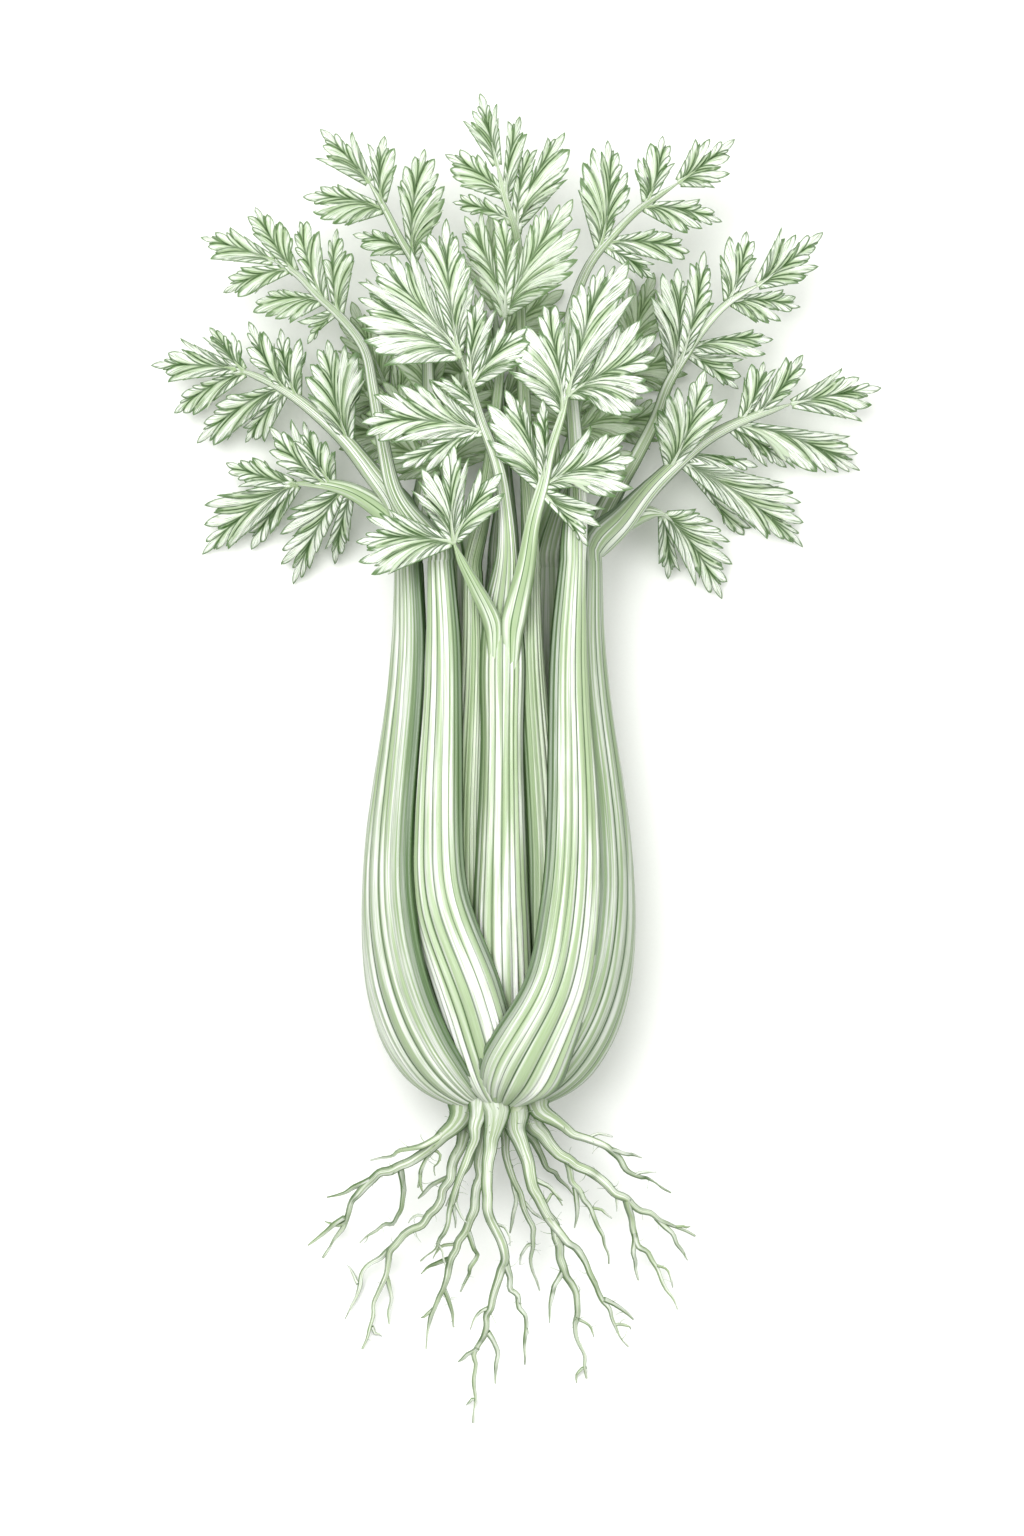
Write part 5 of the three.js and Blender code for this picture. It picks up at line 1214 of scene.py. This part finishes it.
def easedPath(path, joint):  # the path past its joint with its turns rounded off
    reach = round(leafShape["easeOver"] / leafShape["pathSpacing"])
    padded = np.pad(path, ((reach, reach), (0, 0)), mode="reflect", reflect_type="odd")
    bell = np.hanning(2 * reach + 3)[1:-1]
    rounded = np.column_stack([np.convolve(padded[:, k], bell / bell.sum(), "valid") for k in range(3)])
    share = np.clip((np.arange(len(path)) - joint) / reach, 0, 1)[:, None]
    return path + (rounded - path) * share * share * (3 - 2 * share)


def mainStem(place, stem, settled, tone):
    # the stem that goes on from a stalk: it starts just inside the stalk's end, in the stalk's own section,
    # and turns its outer side up, or down where the stalk lies at the back
    centres, facing = stalkEnd(place)
    stalk, spacing = stalks[place], leafShape["pathSpacing"]
    lead = centres[-1] + leafShape["lead"] * unit(centres[-1] - centres[-3])
    path, run = smoothPath([centres[-13], centres[-1], lead, *stem], spacing)
    joint = int(np.argmin(np.linalg.norm(path - centres[-1], axis=1)))
    path = easedPath(path, joint)
    every = round(leafShape["stemSpacing"] / spacing)
    kept = np.unique([*range(joint - 3, len(path), every), len(path) - 1])
    distance = run[kept] - run[joint]
    footWidth = stalk["width"] * stalkShape["breadths"][-1] * stalk.get("fork", 1)
    footDepth = stalk["thickness"] * stalkShape["thicknesses"][-1] / footWidth
    width = stemWidths(distance, distance[-1], footWidth, settled)
    width[distance < 0] *= leafShape["insideWidth"]
    turned = np.clip(distance / leafShape["turnLength"], 0, 1)
    upward = np.outer(1 - turned, facing) + np.outer(turned, (0, 0, 1 if facing[2] > -0.2 else -1))
    # painted light along a main stem, going over from its stalk's to its leaf's
    paintedLights = np.interp(distance, [0, leafShape["paintedLightLength"]], [stalk.get("tone", 1.0), tone])
    depth = width * (footDepth + (leafShape["stemDepth"] - footDepth) * turned)
    strand = strandThrough(
        path[kept], distance + centres[-1, 1], width, depth, upward, width / stalk["width"], paintedLights,
    )
    strand["span"][:] = stalk["width"]
    return strand, path[joint:]


def sideStem(place, branch, settled, tone):
    # a branch leaves from inside its stalk's end where it has a shift to one side, and otherwise from inside
    # the main stem
    centres, facing = stalkEnd(place)
    sunk, start = leafShape["stemSunk"], leafShape["sideStart"]
    points, spacing = branch["stem"], leafShape["pathSpacing"]
    if "shift" in branch:
        points = [
            centres[-1 - down] + (branch["shift"], 0, 0) + leafShape["stemRise"] * (1 - down / sunk) * facing
            for down in (sunk, sunk * 2 // 3, sunk // 3, 3)
        ] + [np.array(point) for point in points]
    points = easedPath(smoothPath(points, spacing)[0], 0)[::8]

    def widthAt(distance, whole):
        footWidth = settled * leafShape["sideFoot"]
        width = stemWidths(distance - sunk, whole - sunk, footWidth, settled)
        return width * (start + (1 - start) * min(1, distance / sunk))

    strand = strandAlong(points, widthAt, leafShape["stemDepth"], leafShape["fineSpacing"], tone=tone)
    strand["size"][:, 2] = np.clip(strand["along"] / sunk - 0.3, 0, 1)  # its ribs grow from nothing
    return strand, smoothPath(points, spacing)[0]


stemSection = roundSection("stemSection", leafShape["stemRibs"], 4, seed=8)
for number, (place, branches) in enumerate({**leaves, **underLeaves}.items()):
    if isinstance(branches, dict):
        branches = [{"stem": branches["stem"], "leaflets": underLeaflets(branches)}]
    tone = leafPaintedLight.get(place, 0.8)
    blades, strands = [], []
    mainBranch = next((k for k, branch in enumerate(branches) if branch.get("main")), 0)
    for k, branch in enumerate(branches):
        settled = branch.get("width", leafShape["stemWidths"][0])
        if k == mainBranch:
            mainStrand, path = mainStem(place, branch["stem"], settled, tone)
        else:
            strand, path = sideStem(place, branch, settled, tone)
            strands.append(strand)
        for leaflet in branch["leaflets"]:
            nearest = int(np.argmin(np.linalg.norm(path[:, :2] - np.array(leaflet[0]), axis=1)))
            ahead = path[min(nearest + 2, len(path) - 1)] - path[max(nearest - 2, 0)]
            seed = 100 * number + len(blades)
            blade, midribAt = leafletPiece(path[nearest], unit(ahead[:2]), leaflet, tone, seed)
            blades.append(blade)
            base, tip = path[nearest], np.array(leaflet[1], float)
            length = np.linalg.norm(tip[:2] - base[:2])
            shares = np.linspace(0, leafShape["midribEnd"], 6)
            rise = base[2] + (tip[2] - base[2]) * shares
            rise += leafShape["arch"] * length * 4 * shares * (1 - shares)
            widths = leafShape["midribWidths"]
            strands.append(strandAlong(
                np.column_stack([midribAt(shares), rise]),
                lambda d, whole: widths[0] + (widths[1] - widths[0]) * d / whole,
                leafShape["midribDepth"], leafShape["fineSpacing"], tone=tone,
            ))
    stems = sweep(
        camel("stems", place), strands, stemSection, "stem", leafShape["stemRibHeight"],
        leafShape["stemLumpHeight"], leafShape["stemLumpScale"], seed=number,
    )
    mainPiece = stalkSweep(camel("mainStem", place), mainStrand, place)
    piece = merged(camel("leaf", place), [joined(camel("blades", place), blades), stems, mainPiece])
    ridesFor(piece, "leaf_" + place, "leaf")
for section in (stemSection, *stalkSections.values()):
    bpy.data.objects.remove(section)
print("leaves made:", len(leaves) + len(underLeaves))

crownShape = {
    "heights": [9.3, 8.6, 7, 4, 1, -2, -6, -10, -11.9],
    "radii": [3, 9, 14, 16.5, 17, 16, 13, 8, 2],
    "ribs": 17,
    "ribHeight": 1.3,
    "ribsWholeAt": 17.5,  # the radius at which the ribs have their whole height
    "lumpHeight": 1.6,
    "lumpScale": 60,
    # the crown is painted a little darker, as the shade under the stalks
    "tone": 0.8,
    "span": 30.0,  # the width that its fibres are spread over
}

rootShape = {
    "ribs": 5,
    "ribHeight": 0.35,
    "width": 1.9,  # times its half width, so a little slimmer than it would be at 2
    "depth": 0.9,  # times its width
    "startIn": (0.88, 8, 0.8),  # a main root starts at this height, with its foot's x and z times the others
    "flare": 3.1,  # how much wider a root's foot is where it leaves the crown
    "branchFlare": 1.1,  # and where a branch leaves its root
    "flareEase": 17,  # the length that the flare dies away over
    "tipAt": 0.65,  # of a root's length, where its last taper starts
    "tip": 0.4,  # times the width there
    # a main root's foot is painted this much darker where it leaves the crown, as painted shade
    "footPaintedLight": 0.75,
    "spacing": 2.0,
    "wander": 0.4,  # how far a root strays from its line
    "wanderEvery": 5,
    "twigFall": 0.45,  # how fast a twig sinks along its length
    "twigHalfWidths": [0.75, 0.45],
    "lumpHeight": 0.9,
    "lumpScale": 110,
}

rootletShape = {
    "perSquareMm": 0.012,
    "length": 6.5,
    "radius": 0.17,
    "shortest": 0.35,  # times the length
    "seed": 4,
}

# every root is its main root and its branches, each with its half widths at its foot and tip, and its points
roots = {
    "far_left": [
        ((3.4, 1), [
            (-15, -4, 2), (-21, -14, 0), (-28, -21, -4), (-38, -27, -10), (-48, -32, -17), (-54, -36, -22),
            (-60, -45, -30), (-64, -55, -37), (-72, -67, -44),
        ]),
        ((1.6, 0.7), [
            (-20, -12, 1), (-26, -17, 1), (-32, -20, -1), (-38, -21, -4), (-44, -24, -8), (-52, -26, -14),
        ]),
        ((1.2, 0.7), [(-52, -34, -20), (-60, -38, -27), (-70, -42, -36)]),
        ((1.1, 0.7), [(-63, -50, -33), (-70, -55, -39), (-78, -62, -44)]),
        ((1.4, 0.7), [(-40, -28, -12), (-39, -41, -23), (-42, -51, -32), (-48, -54, -38), (-57, -61, -44)]),
        ((1.2, 0.7), [(-26, -20, -2), (-31, -28, -9), (-33, -37, -16)]),
    ],
    "left": [
        ((3, 1), [
            (-12, -6, -5), (-17, -22, -10), (-22, -36, -16), (-25, -45, -20), (-34, -53, -26),
            (-44, -63, -33), (-46, -74, -38), (-50, -82, -41), (-51, -92, -43), (-56, -104, -45),
        ]),
        ((1.3, 0.7), [(-42, -61, -32), (-50, -67, -38), (-57, -74, -42), (-58, -82, -44), (-63, -92, -45)]),
        ((1.1, 0.7), [(-46, -74, -38), (-44, -84, -42), (-45, -94, -44)]),
        ((1.1, 0.7), [(-21, -33, -15), (-27, -36, -20), (-33, -42, -26)]),
    ],
    "left_inner": [
        ((2.6, 0.8), [
            (-9, -8, 9), (-13, -24, 7), (-18, -36, 2), (-20, -45, -4), (-21, -53, -9), (-26, -60, -16),
            (-32, -67, -23),
        ]),
        ((1.2, 0.7), [(-17, -34, 3), (-18, -44, -4), (-18, -53, -11)]),
    ],
    "centre_left": [
        ((3.2, 1), [
            (-5, -8, 1), (-8, -26, -3), (-9, -38, -7), (-11, -48, -11), (-16, -58, -17), (-20, -67, -23),
            (-22, -76, -29), (-27, -87, -36), (-29, -96, -41), (-30, -104, -44),
        ]),
        ((1.2, 0.7), [(-20, -66, -22), (-25, -68, -28), (-32, -73, -35)]),
        ((1.1, 0.7), [(-23, -78, -30), (-20, -86, -36), (-19, -95, -41)]),
        ((1.2, 0.7), [(-13, -54, -14), (-10, -64, -21), (-12, -71, -26), (-16, -80, -33)]),
    ],
    "tap": [
        ((3.4, 0.9), [
            (-2, -9, 10), (-5, -26, 8), (-5, -42, 3), (-2, -53, -3), (2, -64, -9), (-1, -76, -16),
            (-5, -87, -23), (-6, -96, -29), (-10, -105, -35), (-10, -120, -41), (-11, -134, -45),
        ]),
        ((1.5, 0.7), [(2, -65, -10), (5, -78, -18), (10, -90, -27), (10, -100, -34), (10, -110, -40)]),
        ((1.2, 0.7), [(-5, -96, -29), (-1, -104, -34), (-2, -113, -39), (-2, -118, -42)]),
        ((1, 0.7), [(-9, -103, -34), (-17, -109, -41)]),
    ],
    "centre": [
        ((2.2, 0.8), [
            (2, -9, -9), (3, -26, -13), (7, -38, -17), (11, -48, -22), (13, -58, -27), (12, -68, -32),
            (16, -80, -39),
        ]),
        ((1.1, 0.7), [(5, -33, -15), (6, -43, -20), (5, -50, -24), (4, -56, -28)]),
    ],
    "centre_right": [
        ((3.8, 1), [
            (6, -8, 3), (11, -26, 0), (16, -41, -5), (22, -55, -12), (25, -67, -19), (28, -76, -25),
            (32, -86, -32), (30, -96, -37), (34, -106, -41), (35, -116, -45),
        ]),
        ((1.4, 0.7), [(26, -70, -21), (21, -80, -28), (20, -93, -36)]),
        ((2, 0.8), [
            (19, -48, -8), (26, -58, -13), (32, -63, -18), (36, -72, -24), (39, -79, -29), (44, -87, -35),
            (47, -96, -40), (52, -103, -44),
        ]),
        ((1.1, 0.7), [(42, -83, -32), (49, -87, -38), (54, -92, -43)]),
        ((1.1, 0.7), [(14, -33, -2), (19, -36, -5), (25, -42, -10)]),
    ],
    "right": [
        ((3.6, 1), [
            (12, -6, -5), (20, -19, -8), (29, -27, -11), (37, -31, -14), (45, -38, -18), (52, -43, -22),
            (61, -49, -28), (69, -53, -34), (79, -58, -42),
        ]),
        ((1.2, 0.7), [(63, -50, -30), (70, -58, -36), (76, -68, -43)]),
        ((1.7, 0.8), [
            (51, -42, -21), (53, -52, -28), (55, -60, -33), (62, -67, -38), (66, -77, -42), (72, -88, -45),
        ]),
        ((1.1, 0.7), [(54, -56, -30), (55, -67, -38), (56, -76, -43)]),
        ((1.6, 0.7), [(27, -26, -11), (30, -36, -16), (36, -46, -22), (41, -56, -29), (44, -69, -37)]),
        ((1.2, 0.7), [(30, -37, -17), (31, -45, -22), (30, -54, -28)]),
    ],
    "far_right": [
        ((2.6, 0.8), [
            (16, -4, 6), (22, -9, 6), (29, -14, 4), (36, -17, 1), (44, -21, -3), (49, -27, -9),
            (54, -32, -15), (60, -34, -22), (69, -40, -32),
        ]),
        ((1.1, 0.7), [(44, -21, -3), (50, -23, -8), (57, -25, -14)]),
    ],
    "under_left": [
        ((2.6, 0.8), [(-6, -8, -12), (-9, -18, -20), (-13, -28, -29), (-18, -37, -37), (-22, -46, -43)]),
    ],
    "under_right": [
        ((2.6, 0.8), [(9, -8, -12), (13, -18, -20), (18, -28, -29), (24, -35, -37), (30, -42, -43)]),
    ],
}

# fine twigs that branch from a root, each from its foot to its tip, seen from above
twigs = {
    "far_left": [
        [(-24, -23), (-26, -28), (-26, -32)], [(-32, -30), (-32, -34), (-31, -39)],
        [(-62, -52), (-66, -53), (-71, -52)],
    ],
    "left": [
        [(-58, -77), (-60, -73), (-62, -70)], [(-28, -50), (-33, -49), (-37, -52)], [(-52, -95), (-48, -99)],
    ],
    "left_inner": [[(-18, -42), (-16, -47), (-13, -51)], [(-26, -58), (-23, -63), (-22, -69)]],
    "centre_left": [
        [(-10, -33), (-11, -38), (-9, -43)], [(-27, -87), (-30, -90), (-32, -91)],
        [(-17, -60), (-23, -61), (-27, -66)],
    ],
    "tap": [
        [(-11, -124), (-14, -127)], [(-3, -50), (3, -54), (4, -60)], [(-5, -86), (-10, -89), (-12, -95)],
    ],
    "centre": [[(9, -42), (13, -47), (18, -51)], [(12, -60), (9, -64), (8, -69)]],
    "centre_right": [
        [(31, -91), (36, -94), (38, -99)], [(18, -44), (21, -39), (25, -44)],
        [(35, -111), (32, -113), (31, -118)], [(47, -94), (51, -93), (53, -96)],
    ],
    "right": [
        [(64, -70), (68, -72), (70, -79)], [(44, -36), (47, -41), (47, -47)], [(71, -54), (77, -54)],
        [(36, -46), (40, -46), (45, -50)],
    ],
    "far_right": [[(54, -32), (59, -30), (63, -31)], [(35, -16), (40, -15), (45, -16)]],
}

crownSection = roundSection("crownSection", crownShape["ribs"], 5, seed=21, unevenness=0.4)
heights = np.array(crownShape["heights"], float)
fine = np.linspace(0, 1, 40)
knots = np.linspace(0, 1, len(heights))
levels, radii = np.interp(fine, knots, heights), eased(np.interp(fine, knots, crownShape["radii"]), 3)
straight = np.zeros(len(fine))
crownStrand = {
    "centre": inFrame(np.column_stack([straight, levels, straight])),
    "side": np.tile([1.0, 0, 0], (len(fine), 1)), "outward": np.tile([0, 0, 1.0], (len(fine), 1)),
    "size": np.column_stack([
        2 * radii * millimetre, 2 * head["flatness"] * radii * millimetre, radii / crownShape["ribsWholeAt"],
    ]),
    "along": levels, "tone": np.full(len(fine), crownShape["tone"]),
    "span": np.full(len(fine), crownShape["span"]),
}
crown = sweep(
    "celeryCrown", [crownStrand], crownSection, "crown", crownShape["ribHeight"],
    crownShape["lumpHeight"], crownShape["lumpScale"], seed=5,
)
ridesFor(crown, "crown", "crown")
bpy.data.objects.remove(crownSection)
print("crown made")


def wandering(points, dice):  # the same path, straying a little to all sides
    path = smoothPath(points, rootShape["wanderEvery"])[0]
    for spot in path[2:-1]:
        spot += [dice.gauss(0, rootShape["wander"]) for _ in range(3)]
    path[:, 2] = np.maximum(path[:, 2], floorLevel + 1)
    return path


def twigPoints(line, strands):  # a twig's line, its foot at the height of the root that it grows from
    paths = np.vstack([smoothPath(points, 1.0)[0] for _, points in strands])
    nearest = paths[np.argmin(np.linalg.norm(paths[:, :2] - np.array(line[0]), axis=1))]
    points = [nearest, *np.array(line, float)]
    steps = [np.linalg.norm(b[:2] - a[:2]) for a, b in zip(points, points[1:])]
    run = np.concatenate([[0], np.cumsum(steps)])
    return [(*p[:2], nearest[2] - rootShape["twigFall"] * d) for p, d in zip(points, run)]


def rootletTree():  # fine rootlets, scattered over a root and leaning away from its surface
    tree = bpy.data.node_groups.new("Rootlets over a root", "GeometryNodeTree")
    tree.is_modifier = True
    sockets = {}
    for name, kind in (
        ("Root", "NodeSocketGeometry"), ("Rootlet", "NodeSocketObject"), ("Density", "NodeSocketFloat"),
        ("Shortest", "NodeSocketFloat"), ("Seed", "NodeSocketInt"), ("Finish", "NodeSocketMaterial"),
    ):
        sockets[name] = tree.interface.new_socket(name, in_out="INPUT", socket_type=kind).identifier
    tree.interface.new_socket("Piece", in_out="OUTPUT", socket_type="NodeSocketGeometry")
    given = addNode(tree, "NodeGroupInput").outputs
    scattered = addNode(tree, "GeometryNodeDistributePointsOnFaces", {
        "Mesh": given["Root"], "Density": given["Density"], "Seed": given["Seed"],
    })
    rootlet = addNode(tree, "GeometryNodeObjectInfo", {"Object": given["Rootlet"]}).outputs["Geometry"]
    turned = addNode(tree, "FunctionNodeAlignEulerToVector", {
        "Vector": scattered.outputs["Normal"],
    }, axis="Z")
    spun = addNode(tree, "FunctionNodeRandomValue", {
        2: -math.pi, 3: math.pi, "Seed": given["Seed"],
    }, data_type="FLOAT")
    spin = addNode(tree, "ShaderNodeCombineXYZ", {"Z": spun.outputs[1]})
    turn = addNode(tree, "FunctionNodeRotateEuler", {
        0: turned.outputs[0], "Rotate By": spin.outputs[0],
    }, space="LOCAL", rotation_type="EULER")
    scale = addNode(tree, "FunctionNodeRandomValue", {
        2: given["Shortest"], 3: 1.0, "Seed": given["Seed"],
    }, data_type="FLOAT")
    placed = addNode(tree, "GeometryNodeInstanceOnPoints", {
        "Points": scattered.outputs["Points"], "Instance": rootlet, "Rotation": turn.outputs[0],
        "Scale": scale.outputs[1],
    })
    both = addNode(tree, "GeometryNodeJoinGeometry")
    tree.links.new(given["Root"], both.inputs[0])
    tree.links.new(placed.outputs[0], both.inputs[0])
    real = addNode(tree, "GeometryNodeRealizeInstances", {0: both.outputs[0]})
    finished = addNode(tree, "GeometryNodeSetMaterial", {0: real.outputs[0], "Material": given["Finish"]})
    addNode(tree, "NodeGroupOutput", {0: finished.outputs[0]})
    return tree, sockets


def rootletPiece():  # one rootlet, a curved thread of four sides that rises from its foot along z
    length, radius = rootletShape["length"] * millimetre, rootletShape["radius"] * millimetre
    vertices, faces, sides, rings = [], [], 4, 5
    for ring in range(rings):
        along = ring / rings
        thin = radius * (1 - 0.75 * along)
        centre = (length * 0.55 * along**2, length * 0.12 * math.sin(4 * along), length * (along - 0.05))
        for side in range(sides):
            turn = 2 * math.pi * side / sides
            vertices.append((centre[0] + thin * math.cos(turn), centre[1] + thin * math.sin(turn), centre[2]))
    for ring in range(rings - 1):
        for side in range(sides):
            a, b = ring * sides + side, ring * sides + (side + 1) % sides
            faces.append((a, b, b + sides, a + sides))
    last = (rings - 1) * sides
    faces += [tuple(reversed(range(sides))), tuple(range(last, last + sides))]
    return addMesh("rootlet", vertices, [], faces, {
        "rib": np.ones(len(vertices)), "tone": np.ones(len(vertices)), "margin": np.ones(len(vertices)),
    })


rootletNodes, rootletSockets = rootletTree()
rootlet = rootletPiece()
rootSection = roundSection("rootSection", rootShape["ribs"], 4, seed=13)
for number, (place, parts) in enumerate(roots.items()):
    dice = random.Random(60 + number)
    lines = [(rootShape["twigHalfWidths"], twigPoints(line, parts)) for line in twigs.get(place, [])]
    strands = []
    for branch, ((wide, thin), points) in enumerate([*parts, *lines]):
        flare = rootShape["flare" if branch == 0 else "branchFlare"]
        if branch == 0:  # a main root starts inside the crown
            (x, _, z), (nearer, height, shallower) = points[0], rootShape["startIn"]
            points = [(nearer * x, height, shallower * z), *points]

        def widthAt(distance, whole, wide=wide, thin=thin, flare=flare):
            along = distance / whole
            foot = wide * (1 + (flare - 1) * math.exp(-((distance / rootShape["flareEase"]) ** 2)))
            beyond = max(0, along - rootShape["tipAt"]) / (1 - rootShape["tipAt"])
            width = rootShape["width"] * (foot + (thin - foot) * along**0.75)
            return width * (1 - (1 - rootShape["tip"]) * beyond**1.5)

        strands.append(strandAlong(
            wandering(points, dice), widthAt, rootShape["depth"], rootShape["spacing"],
            footPaintedLight=rootShape["footPaintedLight"] if branch == 0 else None,
        ))
    root = sweep(
        camel("root", place), strands, rootSection, "root", rootShape["ribHeight"],
        rootShape["lumpHeight"], rootShape["lumpScale"], seed=30 + number,
    )
    modifier = root.modifiers.new("rootlets", "NODES")
    modifier.node_group = rootletNodes
    for key, value in (
        ("Rootlet", rootlet), ("Density", 1 * rootletShape["perSquareMm"] * 1e6),
        ("Shortest", rootletShape["shortest"]), ("Seed", rootletShape["seed"] + number),
        ("Finish", materials["root"]),
    ):
        modifier[rootletSockets[key]] = value
    piece = asPlainMesh(root, camel("root", place, "grown"))
    bpy.data.objects.remove(root)
    ridesFor(piece, "root_" + place, "root")
bpy.data.objects.remove(rootSection)
bpy.data.objects.remove(rootlet)
print("roots made:", len(roots))

# the floor, the light and the camera, in metres; the frame's centre in millimetres from the crown
stage = {
    "floor": "#f7f8f5",
    "floorGrain": "#f3f4f0",
    "floorWidth": 6.0,
    "keyPlace": (-0.4, 0.45, 1.75),
    "keySize": 1.3,
    "keyPower": 34,
    "fillPlace": (0.9, -0.3, 1.4),
    "fillSize": 1.6,
    "fillPower": 10,
    "sky": 0.62,
    "cameraHeight": 3.2,
    "frameHeight": 0.6144,
    "frameCentre": (4.8, 131.6),
}

# matt paper: an even pale ground whose fine grain keeps it from looking like nothing at all
floorMaterial, floorTree, floorShader = newMaterial("Pale paper backdrop, matt")
floorPlace = addNode(floorTree, "ShaderNodeTexCoord").outputs["Object"]
grain = addNode(floorTree, "ShaderNodeTexNoise", {"Vector": floorPlace, "Scale": 900.0, "Detail": 2.0})
paper = addNode(floorTree, "ShaderNodeMix", {
    0: grain.outputs["Fac"], 6: linear(stage["floorGrain"]), 7: linear(stage["floor"]),
}, data_type="RGBA")
floorTree.links.new(paper.outputs[2], floorShader.inputs["Base Color"])
floorShader.inputs["Roughness"].default_value = 0.9
half = stage["floorWidth"] / 2
corners = [(-half, -half, 0), (half, -half, 0), (half, half, 0), (-half, half, 0)]
floor = addMesh("floor", corners, [], [(0, 1, 2, 3)], {})
floor.data.materials.append(floorMaterial)

world = bpy.data.worlds.new("paleRoom")
bpy.context.scene.world = world
world.use_nodes = True
world.node_tree.nodes["Background"].inputs["Color"].default_value = (1, 1, 1, 1)
world.node_tree.nodes["Background"].inputs["Strength"].default_value = stage["sky"]


def softLight(name, place, size, power, target):
    lamp = bpy.data.lights.new(name, "AREA")
    lamp.shape, lamp.size, lamp.energy = "DISK", size, power
    light = bpy.data.objects.new(name, lamp)
    light.location = place
    light.rotation_euler = (Vector(target) - Vector(place)).to_track_quat("-Z", "Y").to_euler()
    bpy.context.scene.collection.objects.link(light)


middle = Vector(inFrame([*stage["frameCentre"], 0]))
softLight("keyLight", stage["keyPlace"], stage["keySize"], stage["keyPower"], middle)
softLight("fillLight", stage["fillPlace"], stage["fillSize"], stage["fillPower"], middle)

lens = bpy.data.cameras.new("camera")
lens.sensor_width = 36
lens.sensor_fit = "AUTO"
lens.lens = lens.sensor_width * stage["cameraHeight"] / stage["frameHeight"]
camera = bpy.data.objects.new("camera", lens)
camera.location = middle + Vector((0, 0, stage["cameraHeight"]))
bpy.context.scene.collection.objects.link(camera)
bpy.context.scene.camera = camera
bpy.context.scene.view_settings.view_transform = "Standard"  # the pale greens stay as they are mixed

print("head of celery ready")
